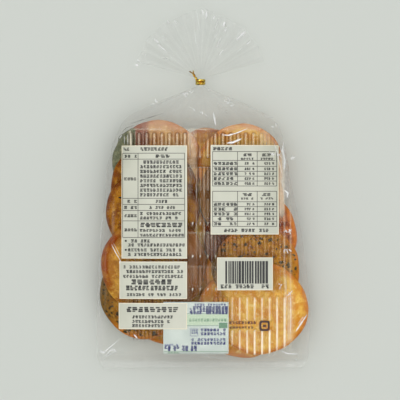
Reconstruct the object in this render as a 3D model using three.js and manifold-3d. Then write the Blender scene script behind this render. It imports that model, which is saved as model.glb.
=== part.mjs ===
// A clear bag of rice crackers that lies on its front, its neck closed by a gold twist tie.
// X runs across the bag, Y from the sealed end to the fan of film above the tie, and Z up.
// The origin is on the resting surface, below the middle of the bag. Sizes are in millimetres.
import * as THREE from 'three';
import { LoftGeometry } from 'three/addons/geometries/LoftGeometry.js';
import { mergeVertices } from 'three/addons/utils/BufferGeometryUtils.js';
import Module from 'manifold-3d';

const wasm = await Module();
wasm.setup();

// The bag's length runs from the edge of its seal to the crest of its fan.
const SEAL_END = -132.5;
const FAN_END = 132.5;

// Heights and side edges of the filled bag, as [y, value] stations that a smooth curve joins.
const LEFT_EDGE = [
  [SEAL_END, -74], [-122, -77.3], [-95, -78], [-30, -73.5], [6, -71], [46, -60], [53, -52.5], [75, -4.7],
];
const RIGHT_EDGE = [
  [SEAL_END, 73], [-122, 76.4], [-90, 78], [-37, 72], [10, 62.5], [46, 54.5], [53, 46.5], [75, 0.3],
];
const TOP = [
  [SEAL_END, 9.2], [-127.5, 9.6], [-125.5, 24], [-122, 42], [-117, 46.8], [-60, 48], [20, 48],
  [45, 46.6], [56, 38.5], [66, 28.5], [75, 19.5],
];
const BOTTOM = [
  [SEAL_END, 8.2], [-127.5, 8], [-124.5, 2.4], [-120, 0], [47, 0], [58, 2.4], [67, 8.6], [75, 14.5],
];
const WIDEST = [[SEAL_END, 8.7], [-127.5, 8.8], [-118, 21], [46, 21], [75, 17]];
const SQUARENESS = [[SEAL_END, 4], [46, 4], [75, 2]];
const REST_SINK = 1.2; // the underside would bulge this far below the surface that flattens it

// Rings of the loft as [first y, last y, count]: the seal, the end wall, the body and the shoulder.
const POINTS_ROUND = 80;
const BODY_RINGS = [[-132, -127.5, 2], [-126.3, -119, 5], [-112, 43, 14], [47, 73, 9]];

// Film gathered into the neck: folds start at the shoulder and deepen towards the tie.
const GATHERS = 11;
const GATHER_DEPTH = [[46, 0], [60, 0.05], [75, 0.14]];

const NECK = { x: -2.2, z: 17, radius: 2.5, gather: 0.04, from: 75.6, to: 81 };

// The fan of film above the tie: a pleated sector round a point just inside the neck.
const FAN_CENTRE_Y = 80.6;
const FAN_LEFT = THREE.MathUtils.degToRad(165);
const FAN_RIGHT = THREE.MathUtils.degToRad(15);
const FAN_CREST = 3.6; // the rim stands this much higher at its middle
const FAN_CREST_WIDTH = 0.21; // in radians
const FAN_RADIUS = FAN_END - FAN_CENTRE_Y - FAN_CREST;
const FAN_RINGS = [0.09, 0.16, 0.26, 0.4, 0.56, 0.72, 0.87, 0.97];
const FAN_HALF_THICK = { neck: 2.1, rim: 0.6 };
const PLEATS = { count: 8, phase: 0.6, height: 5, slowCount: 5, slowHeight: 1.5 };

// The tie: a foil strip closed round the neck, its two ends twisted together.
const TIE_Y = 78.3;
const TIE_SEGMENTS = 36;
const TIE_BAND = { inner: 3, outer: 3.7, groove: 3.35, halfWidth: 2.1 };
const TWIST = {
  from: new THREE.Vector3(-4.2, 79.2, 19.6),
  to: new THREE.Vector3(-7.6, 84.3, 23.4),
  bar: { width: 1.9, thick: 1, turns: 1.25, start: 0.4, steps: 24 },
  parting: new THREE.Vector3(-7.35, 83.9, 23.1),
  tips: [new THREE.Vector3(-7.4, 86.2, 25), new THREE.Vector3(-10.2, 85.9, 24.2)],
  tip: { width: 1.9, thick: 0.5, turns: 0, start: 1.2, steps: 2 },
};

const film = new THREE.MeshStandardMaterial({ color: 0xd9dcd4, roughness: 0.15, metalness: 0 });
const foil = new THREE.MeshStandardMaterial({ color: 0xd2a33c, roughness: 0.25, metalness: 1 });

// A curve through [y, value] stations that never overshoots them.
function profile(stations) {
  const rise = (a, b) => (b[1] - a[1]) / (b[0] - a[0]);
  const slopes = stations.map((station, i) => {
    const before = i > 0 ? rise(stations[i - 1], station) : rise(station, stations[1]);
    const after = i < stations.length - 1 ? rise(station, stations[i + 1]) : before;
    return before * after > 0 ? (2 * before * after) / (before + after) : 0;
  });
  return (y) => {
    const i = stations.slice(1, -1).filter((station) => station[0] < y).length;
    const [y0, v0] = stations[i];
    const [y1, v1] = stations[i + 1];
    const span = y1 - y0;
    const t = THREE.MathUtils.clamp((y - y0) / span, 0, 1);
    const s = t * t * (3 - 2 * t);
    const bend = t * (1 - t) * ((1 - t) * slopes[i] - t * slopes[i + 1]) * span;
    return v0 + s * (v1 - v0) + bend;
  };
}

const leftEdge = profile(LEFT_EDGE);
const rightEdge = profile(RIGHT_EDGE);
const top = profile(TOP);
const bottom = profile(BOTTOM);
const widest = profile(WIDEST);
const squareness = profile(SQUARENESS);
const gatherDepth = profile(GATHER_DEPTH);

function spread(from, to, count) {
  return Array.from({ length: count }, (_, i) => from + ((to - from) * i) / (count - 1));
}

// A ring's points run from the left side over the top to the right side and back underneath.
function ring(pointAt) {
  return spread(0, 2 * Math.PI, POINTS_ROUND + 1).slice(0, POINTS_ROUND).map(pointAt);
}

function bodyRing(y, flat = false) {
  const middleX = (leftEdge(y) + rightEdge(y)) / 2;
  const halfWidth = (rightEdge(y) - leftEdge(y)) / 2;
  const power = squareness(y);
  return ring((angle) => {
    const gather = 1 + gatherDepth(y) * Math.cos(GATHERS * angle);
    const across = -Math.cos(angle);
    const lift = flat ? 0 : (1 - Math.abs(across) ** power) ** (1 / power) * gather;
    const upper = Math.sin(angle) > 0;
    const reach = upper ? top(y) - widest(y) : bottom(y) - REST_SINK - widest(y);
    const z = Math.max(widest(y) + reach * lift, bottom(y));
    return new THREE.Vector3(middleX + halfWidth * across * gather, y, z);
  });
}

function neckRing(y) {
  return ring((angle) => {
    const radius = NECK.radius * (1 + NECK.gather * Math.cos(GATHERS * angle));
    return new THREE.Vector3(NECK.x - radius * Math.cos(angle), y, NECK.z + radius * Math.sin(angle));
  });
}

// Height of the fan's pleats at its rim, from its left side (0) to its right side (1).
function pleat(along) {
  const round = 2 * Math.PI * along;
  const sharp = PLEATS.height * Math.sin(PLEATS.count * round + PLEATS.phase);
  return sharp + PLEATS.slowHeight * Math.sin(PLEATS.slowCount * round);
}

// A ring of the fan at a share of its radius; the last one, at the rim, has no thickness.
function fanRing(share) {
  const rim = share === 1;
  return ring((angle) => {
    const along = angle <= Math.PI ? angle / Math.PI : 2 - angle / Math.PI;
    const side = Math.sign(Math.sin(angle));
    const turn = FAN_LEFT + (FAN_RIGHT - FAN_LEFT) * along;
    const crest = FAN_CREST * Math.exp(-(((turn - Math.PI / 2) / FAN_CREST_WIDTH) ** 2));
    const radius = share * (FAN_RADIUS + crest * share);
    const thick = THREE.MathUtils.lerp(FAN_HALF_THICK.neck, FAN_HALF_THICK.rim, share);
    const half = rim ? 0 : thick * Math.sqrt(Math.sin(Math.PI * along));
    return new THREE.Vector3(
      NECK.x + radius * Math.cos(turn),
      FAN_CENTRE_Y + radius * Math.sin(turn),
      NECK.z + share * pleat(along) + side * half,
    );
  });
}

// The bag is one loft: the seal's edge and the fan's rim are rings closed flat on their middle line.
function bagGeometry() {
  const body = BODY_RINGS.flatMap((span) => spread(...span)).map((y) => bodyRing(y));
  const neck = [NECK.from, (NECK.from + NECK.to) / 2, NECK.to].map(neckRing);
  const fan = [...FAN_RINGS, 1].map(fanRing);
  return new LoftGeometry([bodyRing(SEAL_END, true), ...body, ...neck, ...fan]);
}

function solidOf(geometry) {
  const bare = new THREE.BufferGeometry();
  bare.setAttribute('position', geometry.getAttribute('position'));
  bare.setIndex(geometry.getIndex());
  const merged = mergeVertices(bare, 1e-4);
  const mesh = new wasm.Mesh({
    numProp: 3,
    vertProperties: merged.getAttribute('position').array,
    triVerts: new Uint32Array(merged.getIndex().array),
  });
  return new wasm.Manifold(mesh);
}

function geometryOf(solid) {
  const mesh = solid.getMesh();
  const geometry = new THREE.BufferGeometry();
  geometry.setAttribute('position', new THREE.BufferAttribute(mesh.vertProperties, 3));
  geometry.setIndex(new THREE.BufferAttribute(mesh.triVerts, 1));
  geometry.computeVertexNormals();
  return geometry;
}

// The strip closed round the neck: two turns side by side, with a groove between them.
function tieBand() {
  const { inner, outer, groove, halfWidth } = TIE_BAND;
  const corners = [
    [inner, -halfWidth], [outer, -0.8 * halfWidth], [outer, -0.2 * halfWidth], [groove, 0],
    [outer, 0.2 * halfWidth], [outer, 0.8 * halfWidth], [inner, halfWidth],
  ];
  const outline = [...corners, corners[0]].map(([radius, y]) => new THREE.Vector2(radius, y));
  const band = new THREE.LatheGeometry(outline, TIE_SEGMENTS);
  band.translate(NECK.x, TIE_Y, NECK.z);
  return solidOf(band);
}

// A flat bar from one point to another that turns about its own length.
function twistedBar({ from, to, width, thick, turns, start, steps }) {
  const forward = to.clone().sub(from).normalize();
  const right = new THREE.Vector3().crossVectors(forward, new THREE.Vector3(0, 0, 1)).normalize();
  const up = new THREE.Vector3().crossVectors(right, forward);
  const outline = [[-1, 0.4], [-0.7, 1], [0.7, 1], [1, 0.4], [1, -0.4], [0.7, -1], [-0.7, -1], [-1, -0.4]];
  const sections = spread(0, 1, steps).map((share) => {
    const turn = start + 2 * Math.PI * turns * share;
    const wide = right.clone().multiplyScalar(Math.cos(turn)).addScaledVector(up, Math.sin(turn));
    const out = new THREE.Vector3().crossVectors(wide, forward);
    const centre = from.clone().lerp(to, share);
    return outline.map(([w, t]) => centre.clone()
      .addScaledVector(wide, (w * width) / 2)
      .addScaledVector(out, (t * thick) / 2));
  });
  return solidOf(new LoftGeometry(sections, { capStart: true, capEnd: true }));
}

function tieGeometry() {
  const twist = twistedBar({ from: TWIST.from, to: TWIST.to, ...TWIST.bar });
  const tips = TWIST.tips.map((to) => twistedBar({ from: TWIST.parting, to, ...TWIST.tip }));
  return geometryOf([twist, ...tips].reduce((joined, piece) => joined.add(piece), tieBand()));
}

function part(name, geometry, material) {
  const mesh = new THREE.Mesh(geometry, material);
  mesh.name = name;
  return mesh;
}

const group = new THREE.Group();
group.add(part('bag', bagGeometry(), film));
group.add(part('tie', tieGeometry(), foil));

export default group;
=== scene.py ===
"""Looks of a clear film bag of round rice crackers that lies on its front.

The film and what shows through it replace the solid bag: the ribbed tray, twenty crackers in two
shingled columns, a drying sachet and the white print fields. Lengths are in millimetres in the
frame of the part, and every mesh is written in metres. X runs across the bag, Y towards the fan.
"""
import math
import random

import bpy
import numpy as np
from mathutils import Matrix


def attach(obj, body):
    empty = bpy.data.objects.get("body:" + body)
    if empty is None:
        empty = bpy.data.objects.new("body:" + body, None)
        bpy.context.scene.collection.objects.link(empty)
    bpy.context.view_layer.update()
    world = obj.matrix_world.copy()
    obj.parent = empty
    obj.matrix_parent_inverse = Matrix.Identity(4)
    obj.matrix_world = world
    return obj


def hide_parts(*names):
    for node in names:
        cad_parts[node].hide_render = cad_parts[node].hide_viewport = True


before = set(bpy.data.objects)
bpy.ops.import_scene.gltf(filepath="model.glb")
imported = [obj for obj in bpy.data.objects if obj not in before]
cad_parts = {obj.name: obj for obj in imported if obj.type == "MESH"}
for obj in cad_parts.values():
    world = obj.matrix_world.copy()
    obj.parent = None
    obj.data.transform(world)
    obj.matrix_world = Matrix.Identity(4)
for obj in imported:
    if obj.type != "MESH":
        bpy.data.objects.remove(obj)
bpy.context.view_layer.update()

MM = 0.001
TURN = 2 * math.pi

# The bag's form, as the solid has it: [y, value] stations joined by smooth curves.
SEAL_END = -132.5
FAN_END = 132.5
LEFT_EDGE = [
    (SEAL_END, -74), (-122, -77.3), (-95, -78),
    (-30, -73.5), (6, -71), (46, -60), (53, -52.5), (75, -4.7),
]
RIGHT_EDGE = [
    (SEAL_END, 73), (-122, 76.4), (-90, 78), (-37, 72), (10, 62.5), (46, 54.5), (53, 46.5), (75, 0.3),
]
TOP = [
    (SEAL_END, 9.2), (-127.5, 9.6), (-125.5, 24), (-122, 42), (-117, 46.8), (-60, 48), (20, 48),
    (45, 46.6), (56, 38.5), (66, 28.5), (75, 19.5),
]
BOTTOM = [
    (SEAL_END, 8.2), (-127.5, 8), (-124.5, 2.4), (-120, 0), (47, 0), (58, 2.4), (67, 8.6), (75, 14.5),
]
WIDEST = [(SEAL_END, 8.7), (-127.5, 8.8), (-118, 21), (46, 21), (75, 17)]
SQUARENESS = [(SEAL_END, 4), (46, 4), (75, 2)]
REST_SINK = 1.2
GATHERS = 11
GATHER_DEPTH = [(46, 0), (60, 0.05), (75, 0.14)]
NECK = {"x": -2.2, "z": 17, "radius": 2.5, "gather": 0.04, "from": 75.6, "to": 81}
FAN_CENTRE_Y = 80.6
FAN_LEFT = math.radians(165)
FAN_RIGHT = math.radians(15)
FAN_CREST = 3.6
FAN_CREST_WIDTH = 0.21
FAN_RADIUS = FAN_END - FAN_CENTRE_Y - FAN_CREST
FAN_HALF_THICK = {"neck": 2.1, "rim": 0.6}
PLEATS = {"count": 8, "phase": 0.6, "height": 5, "slow_count": 5, "slow_height": 1.5}


# ---- curves and noise

def profile(stations):
    """A curve through [y, value] stations that never overshoots them."""
    ys, values = np.array(stations, float).T
    rises = np.diff(values) / np.diff(ys)
    before = np.concatenate([rises[:1], rises])
    after = np.concatenate([rises, rises[-1:]])
    agree = before * after > 0
    slopes = np.where(agree, 2 * before * after / np.where(agree, before + after, 1), 0)

    def at(y):
        i = np.searchsorted(ys[1:-1], y)
        span = ys[i + 1] - ys[i]
        t = np.clip((y - ys[i]) / span, 0, 1)
        bend = t * (1 - t) * ((1 - t) * slopes[i] - t * slopes[i + 1]) * span
        return values[i] + t * t * (3 - 2 * t) * (values[i + 1] - values[i]) + bend

    return at


left_edge = profile(LEFT_EDGE)
right_edge = profile(RIGHT_EDGE)
top = profile(TOP)
bottom = profile(BOTTOM)
widest = profile(WIDEST)
squareness = profile(SQUARENESS)
gather_depth = profile(GATHER_DEPTH)


def smooth(low, high, value):
    """0 below low, 1 above high, with soft ends; low may be the larger one."""
    t = np.clip((np.asarray(value, float) - low) / (high - low), 0, 1)
    return t * t * (3 - 2 * t)


def lattice(ix, iy, seed):
    """A random number from 0 to 1 for each whole-numbered point."""
    mixed = (ix * 374761393 + iy * 668265263 + seed * 2246822519) & 0xFFFFFFFF
    mixed = ((mixed ^ (mixed >> 13)) * 1274126177) & 0xFFFFFFFF
    return ((mixed ^ (mixed >> 16)) & 0xFFFFFF) / 0xFFFFFF


def noise(x, y, size, seed):
    """Smooth noise from -1 to 1 whose bumps are about size across."""
    x = np.asarray(x, float) / size
    y = np.asarray(y, float) / size
    ix = np.floor(x).astype(np.int64)
    iy = np.floor(y).astype(np.int64)
    tx = x - ix
    ty = y - iy
    tx = tx * tx * (3 - 2 * tx)
    ty = ty * ty * (3 - 2 * ty)
    low = lattice(ix, iy, seed) * (1 - tx) + lattice(ix + 1, iy, seed) * tx
    high = lattice(ix, iy + 1, seed) * (1 - tx) + lattice(ix + 1, iy + 1, seed) * tx
    return 2 * (low * (1 - ty) + high * ty) - 1


def bell(value, middle, width):
    """1 at the middle, falling off on both sides."""
    return np.exp(-(((value - middle) / width) ** 2))


def window(value, start, full, last, end):
    """1 from full to last, falling off to 0 at start and at end."""
    return smooth(start, full, value) * smooth(end, last, value)


NOISE_LAYERS = 4


def layered_noise(x, y, size, seed):
    """Noise at several sizes, each layer half as wide and half as strong as the last."""
    total = 0
    for layer in range(NOISE_LAYERS):
        finer = 2 ** layer
        total = total + noise(x + 31 * layer, y - 17 * layer, size / finer, seed + layer) / finer
    return total / (2 - 2 / 2 ** NOISE_LAYERS)


def folds(x, y, size, seed):
    """Sharp-ridged crumpling of film, from 0 in its flat facets to 1 on its ridges."""
    bent_x = x + 0.35 * size * noise(x, y, size, seed + 5)
    bent_y = y + 0.35 * size * noise(x, y, size, seed + 6)
    return (1 - np.abs(noise(bent_x, bent_y, size, seed))) ** 3


# ---- mesh building

def turned(a, b, angle):
    """The two coordinates of points after a turn about the third axis."""
    return a * math.cos(angle) - b * math.sin(angle), a * math.sin(angle) + b * math.cos(angle)


def as_points(x, y, z):
    return np.stack(np.broadcast_arrays(x, y, z), axis=-1)


def grid_faces(rows, columns, closed=False):
    """Quads over rows of points; closed joins each row's end to its start."""
    across = np.arange(columns if closed else columns - 1)
    row = np.arange(rows - 1)[:, None] * columns
    a = row + across
    b = row + (across + 1) % columns
    return np.stack([a, b, b + columns, a + columns], axis=-1).reshape(-1, 4)


class Pile:
    """Points, faces and per-point values that become one mesh."""

    def __init__(self):
        self.points = []
        self.faces = []
        self.values = {}
        self.count = 0

    def add(self, points, faces, **values):
        points = np.asarray(points, float).reshape(-1, 3)
        self.points.append(points)
        self.faces.extend((np.asarray(faces) + self.count).tolist())
        for name, value in values.items():
            spread_out = np.broadcast_to(np.asarray(value, float).reshape(-1), (len(points),))
            self.values.setdefault(name, []).append(spread_out)
        self.count += len(points)

    def piece(self, name, material, slot, smooth_faces=True):
        mesh = bpy.data.meshes.new(name)
        mesh.from_pydata((np.concatenate(self.points) * MM).tolist(), [], self.faces)
        for value_name, parts in self.values.items():
            layer = mesh.attributes.new(value_name, "FLOAT", "POINT")
            layer.data.foreach_set("value", np.concatenate(parts).astype(np.float32))
        mesh.polygons.foreach_set("use_smooth", [smooth_faces] * len(mesh.polygons))
        mesh.materials.append(material)
        mesh.update()
        made = bpy.data.objects.new(name, mesh)
        bpy.context.scene.collection.objects.link(made)
        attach(made, "root")
        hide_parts("bag")


# ---- the film's form

def middle_and_half(y):
    """Middle of the bag and half its width."""
    return (left_edge(y) + right_edge(y)) / 2, (right_edge(y) - left_edge(y)) / 2


def crumple(x, y):
    """How far the film stands off the smooth form: slack at its edges and ends, taut over the tray."""
    middle, half = middle_and_half(y)
    across = np.abs(x - middle) / half
    slack = np.clip(smooth(0.74, 0.97, across) + smooth(38, 56, y) + smooth(-114, -124, y), 0, 1)
    slack = slack * window(y, -132, -127, 68, 75)
    loose = 0.5 * noise(x, y, 19, 40) + 0.25 * noise(x, y, 8, 41) + 1.1 * folds(x, y, 21, 50)
    return slack * loose + 0.1 * noise(x, y, 33, 42)


def film_top(x, y):
    """Height of the body's upper film at a place."""
    middle, half = middle_and_half(y)
    across = np.clip((x - middle) / half, -0.999, 0.999)
    gather = 1
    for _ in range(3):
        angle = np.arccos(np.clip(-across / gather, -1, 1))
        gather = 1 + gather_depth(y) * np.cos(GATHERS * angle)
    power = squareness(y)
    lift = (1 - np.clip(np.abs(across / gather), 0, 1) ** power) ** (1 / power) * gather
    return widest(y) + (top(y) - widest(y)) * lift + crumple(x, y) * lift


def body_rings(ys, angles):
    """Points of the body's film, one ring of angles for each y."""
    y = np.asarray(ys, float)[:, None]
    angle = angles[None, :]
    middle, half = middle_and_half(y)
    gather = 1 + gather_depth(y) * np.cos(GATHERS * angle)
    across = -np.cos(angle)
    lift = (1 - np.abs(across) ** squareness(y)) ** (1 / squareness(y)) * gather
    upper = np.sin(angle) > 0
    reach = np.where(upper, top(y), bottom(y) - REST_SINK) - widest(y)
    x = middle + half * across * gather
    z = np.maximum(widest(y) + reach * lift, bottom(y)) + np.where(upper, crumple(x, y) * lift, 0)
    return as_points(x + across * (1 - lift) * crumple(z * 2.2, y), y, z)


def neck_rings(ys, angles):
    radius = NECK["radius"] * (1 + NECK["gather"] * np.cos(GATHERS * angles[None, :]))
    x = NECK["x"] - radius * np.cos(angles)
    return as_points(x, np.asarray(ys, float)[:, None], NECK["z"] + radius * np.sin(angles))


def pleat(along):
    """Height of the fan's pleats at its rim, from its left side (0) to its right side (1)."""
    sharp = PLEATS["height"] * np.sin(PLEATS["count"] * TURN * along + PLEATS["phase"])
    return sharp + PLEATS["slow_height"] * np.sin(PLEATS["slow_count"] * TURN * along)


def fine_folds(along, share):
    """Small folds between the fan's pleats, which open out towards its rim."""
    small = 0.55 * np.sin(17 * TURN * along + 1.3) + 0.4 * np.sin(26 * TURN * along)
    return share * small * (0.6 + 0.4 * noise(along * 60, share * 9, 3, 61))


def fan_reach(turn):
    """How much further the fan's rim stands out at its middle."""
    return FAN_CREST * bell(turn, math.pi / 2, FAN_CREST_WIDTH)


def fan_half_thick(along, share):
    thick = FAN_HALF_THICK["neck"] * (1 - share) + FAN_HALF_THICK["rim"] * share
    return np.where(share < 1, thick * np.sqrt(np.clip(np.sin(math.pi * along), 0, 1)), 0)


def fan_rings(shares, angles):
    share = np.asarray(shares, float)[:, None]
    angle = angles[None, :]
    along = np.where(angle <= math.pi, angle / math.pi, 2 - angle / math.pi)
    turn = FAN_LEFT + (FAN_RIGHT - FAN_LEFT) * along
    ragged = 1 + 0.012 * share ** 3 * noise(along * 50, 0 * along, 1.3, 62)
    radius = share * (FAN_RADIUS + fan_reach(turn) * share) * ragged
    height = NECK["z"] + share * pleat(along) + fine_folds(along, share)
    z = height + np.sign(np.sin(angle)) * fan_half_thick(along, share)
    return as_points(NECK["x"] + radius * np.cos(turn), FAN_CENTRE_Y + radius * np.sin(turn), z)


def fan_top(x, y):
    """Height of the fan's upper face at a place."""
    right = np.asarray(x, float) - NECK["x"]
    up = np.asarray(y, float) - FAN_CENTRE_Y
    turn = np.arctan2(up, right)
    along = np.clip((turn - FAN_LEFT) / (FAN_RIGHT - FAN_LEFT), 0, 1)
    share = np.clip(np.hypot(right, up) / (FAN_RADIUS + fan_reach(turn)), 0, 1)
    height = NECK["z"] + share * pleat(along) + fine_folds(along, share)
    return height + fan_half_thick(along, np.minimum(share, 0.999))


def skin_height(x, y):
    """Height of whichever upper film lies at a place: the body's or the fan's."""
    in_fan = np.asarray(y, float) > FAN_CENTRE_Y
    return np.where(in_fan, fan_top(x, y), film_top(x, np.minimum(y, 74)))


# ---- materials

class Shader:
    """A material's node tree, built by calls that return the sockets they make."""

    def __init__(self, name):
        self.material = bpy.data.materials.new(name)
        self.material.use_nodes = True
        self.tree = self.material.node_tree
        self.tree.nodes.clear()
        self.place = self.node("ShaderNodeTexCoord").outputs["Object"]

    def node(self, kind, inputs=None, **settings):
        made = self.tree.nodes.new(kind)
        for key, value in settings.items():
            setattr(made, key, value)
        for key, value in (inputs or {}).items():
            if isinstance(value, bpy.types.NodeSocket):
                self.tree.links.new(value, made.inputs[key])
            else:
                made.inputs[key].default_value = value
        return made

    def noise(self, size, detail=4, stretch=(1, 1, 1)):
        """Noise from 0 to 1 with bumps of about that size in millimetres."""
        where = self.place
        if stretch != (1, 1, 1):
            where = self.node("ShaderNodeMapping", {"Vector": where, "Scale": stretch}).outputs[0]
        settings = {"Vector": where, "Scale": 1 / (size * MM), "Detail": detail, "Roughness": 0.55}
        return self.node("ShaderNodeTexNoise", settings).outputs[0]

    def attribute(self, name):
        return self.node("ShaderNodeAttribute", attribute_name=name).outputs["Fac"]

    def math(self, operation, a, b=0.5, clamp=False):
        return self.node("ShaderNodeMath", {0: a, 1: b}, operation=operation, use_clamp=clamp).outputs[0]

    def ranged(self, value, low, high, to_low=0.0, to_high=1.0):
        """A value's stretch from low to high spread over to_low to to_high, and held at the ends."""
        inputs = {0: value, 1: low, 2: high, 3: to_low, 4: to_high}
        return self.node("ShaderNodeMapRange", inputs, interpolation_type="SMOOTHSTEP").outputs[0]

    def mix(self, factor, a, b):
        return self.node("ShaderNodeMix", {0: factor, 6: a, 7: b}, data_type="RGBA").outputs[2]

    def shown_through(self, share, behind, front):
        """The front shader where the share is 1, and the one behind where it is 0."""
        return self.node("ShaderNodeMixShader", {0: share, 1: behind, 2: front}).outputs[0]

    def clear(self, tint=(1, 1, 1, 1)):
        return self.node("ShaderNodeBsdfTransparent", {"Color": tint}).outputs[0]

    def bump(self, height, depth):
        """Relief whose full height is depth in millimetres."""
        inputs = {"Height": height, "Distance": depth * MM, "Strength": 1}
        return self.node("ShaderNodeBump", inputs).outputs[0]

    def principled(self, **inputs):
        named = {key.replace("_", " "): value for key, value in inputs.items()}
        return self.node("ShaderNodeBsdfPrincipled", named).outputs[0]

    def finish(self, surface):
        self.node("ShaderNodeOutputMaterial", {"Surface": surface})
        return self.material


def colour(red, green, blue):
    """A linear colour from the 0 to 255 values that a screen shows."""
    def linear(value):
        share = value / 255
        return share / 12.92 if share <= 0.04045 else ((share + 0.055) / 1.055) ** 2.4
    return linear(red), linear(green), linear(blue), 1


EDGE_SHADE = (0.42, 0.33, 0.25, 1)


def clear_sheet(
        name, ior, gloss, gloss_limit, tint, haze, fine_size, fine_depth,
        dark=EDGE_SHADE, white_from=0.02, through=0.0):
    """A clear plastic sheet: mostly see-through, with a mirror share that grows at grazing angles.
    Two per-point values run from 0 to 1. The first is white painted onto the sheet for highlights,
    glints and a haze that lightens it; it has the colour haze, and lets the share through of the light
    that meets it spread to its other side. The second, shade, is painted shade that tints what shows
    through down to the tint dark, where a steep edge would bend the light away."""
    s = Shader(name)
    fine = s.math("ADD", s.noise(fine_size, 3), s.noise(fine_size * 4.5, 2), False)
    normal = s.bump(fine, fine_depth)
    fresnel = s.node("ShaderNodeFresnel", {"IOR": ior, "Normal": normal}).outputs[0]
    mirror = s.math("MINIMUM", s.math("MULTIPLY", fresnel, gloss), gloss_limit)
    # Painted shade tints what shows through; painted white covers it.
    clear = s.clear(s.mix(s.attribute("shade"), tint, dark))
    white = s.math("MULTIPLY", s.attribute("milky"), s.ranged(s.noise(2.5, 3), 0.2, 0.7, 0.75, 1.0))
    share = s.math("ADD", mirror, white, True)
    metal = s.ranged(white, 0, white_from, 1.0, 0.0)
    sheet = s.principled(Base_Color=haze, Metallic=metal, Roughness=0.09, Normal=normal)
    if through:
        spread = s.node("ShaderNodeBsdfTranslucent", {"Color": haze}).outputs[0]
        part = s.math("MULTIPLY", s.math("SUBTRACT", 1.0, metal), through)
        sheet = s.shown_through(part, sheet, spread)
    return s.finish(s.shown_through(share, clear, sheet))


def glint_material():
    """Painted glints: white, glossy film along sharp creases."""
    s = Shader("film_glint")
    patchy = s.ranged(s.noise(1.6, 3), 0.3, 0.7, 0.9, 1.0)
    share = s.math("MULTIPLY", s.attribute("strength"), patchy, True)
    white = s.principled(
        Base_Color=(1, 1, 1, 1), Roughness=0.25, Coat_Weight=0.6, Coat_Roughness=0.1,
        Normal=s.bump(s.noise(0.8, 2), 0.1))
    return s.finish(s.shown_through(share, s.clear(), white))


def print_material():
    """Opaque white print under glossy film, creamier along its edge."""
    s = Shader("print_white")
    body = s.mix(s.ranged(s.noise(26, 3), 0.3, 0.7), colour(200, 200, 183), colour(190, 191, 174))
    body = s.mix(s.attribute("edge"), body, colour(230, 222, 194))
    normal = s.bump(s.noise(9, 3), 0.06)
    return s.finish(s.principled(
        Base_Color=body, Roughness=0.42, Coat_Weight=0.25, Coat_Roughness=0.12, Normal=normal))


def ink_material(name, dark, pale):
    """Printed marks whose tone runs from dark to pale with the per-point value tone."""
    s = Shader(name)
    even = s.mix(s.attribute("tone"), dark, pale)
    worn = s.mix(s.ranged(s.noise(0.7, 2), 0.45, 0.8, 0.0, 0.25), even, pale)
    return s.finish(s.principled(Base_Color=worn, Roughness=0.5, Normal=s.bump(s.noise(0.5, 2), 0.01)))


def cracker_material(kind):
    """Baked rice dough: its face and patches of a deeper tone, painted shade in its hollows and on one side,
    a toasted rim and pale spots.
    """
    face, deep, toasted, pale = (colour(*tone) for tone in CRACKER_TONES[kind])
    patch, rough_from, coat, blush = CRACKER_FINISH[kind]
    s = Shader("cracker_" + kind)
    base = s.mix(s.ranged(s.noise(patch, 5), 0.38, 0.62), face, deep)
    base = s.mix(s.ranged(s.noise(patch * 0.4, 4), 0.56, 0.68, 0.0, 0.7), base, pale)
    # Painted shade in the hollows of the relief.
    hollow = s.math("MULTIPLY", s.attribute("hollow"), s.ranged(s.noise(3, 4), 0.3, 0.7, 0.3, 1.0))
    base = s.mix(hollow, base, deep)
    rim = s.math("MULTIPLY", s.attribute("rim"), s.ranged(s.noise(6, 4), 0.35, 0.6, 0.5, 1.0))
    base = s.mix(rim, base, toasted)
    # Painted shade on one side of the cracker.
    base = s.mix(s.attribute("blush"), base, colour(*blush))
    speckle = s.ranged(s.noise(1.3, 4), 0.58, 0.68, 0.0, 0.65)
    base = s.mix(speckle, base, toasted)
    grain = s.math("ADD", s.noise(1.4, 4), s.noise(0.45, 2), False)
    rough = s.ranged(s.noise(5, 3), 0.3, 0.7, rough_from - 0.08, rough_from + 0.14)
    return s.finish(s.principled(
        Base_Color=base, Roughness=rough, Specular_IOR_Level=0.1, Coat_Weight=coat, Coat_Roughness=0.2,
        Normal=s.bump(grain, 0.28)))


def dark_flake_material(name, dark, light, size=2.2, gloss=0.4):
    """Dry seaweed or seed skin: nearly black with lighter green-brown mottling."""
    s = Shader(name)
    base = s.mix(s.ranged(s.noise(size, 5), 0.42, 0.7), dark, light)
    fine = s.noise(size * 0.3, 4)
    base = s.mix(s.ranged(fine, 0.5, 0.8, 0.0, 0.4), base, light)
    return s.finish(s.principled(
        Base_Color=base, Roughness=gloss, Specular_IOR_Level=0.2, Normal=s.bump(fine, 0.15)))


def paper_material():
    """Coated paper with faint waviness."""
    s = Shader("sachet_paper")
    base = s.mix(s.ranged(s.noise(12, 4), 0.35, 0.65), colour(203, 212, 203), colour(190, 200, 192))
    return s.finish(s.principled(Base_Color=base, Roughness=0.5, Normal=s.bump(s.noise(3, 4), 0.12)))


def foil_material():
    """Gold foil with painted light and shade: its tone runs from a darker orange to a lighter, greener
    yellow across its crinkles, with thin near-black lines of painted dark reflection.
    """
    s = Shader("gold_foil")
    across = s.ranged(s.noise(1.8, 3), 0.4, 0.6)
    base = s.mix(across, (0.42, 0.17, 0.01, 1), (0.85, 0.68, 0.13, 1))
    # Painted dark reflections in thin near-black lines.
    base = s.mix(s.ranged(s.noise(1.3, 2), 0.58, 0.64), base, (0.06, 0.035, 0.01, 1))
    normal = s.bump(s.noise(1.1, 3, (1, 1, 2.5)), 0.45)
    return s.finish(s.principled(Base_Color=base, Metallic=1.0, Roughness=0.22, Normal=normal))


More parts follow.
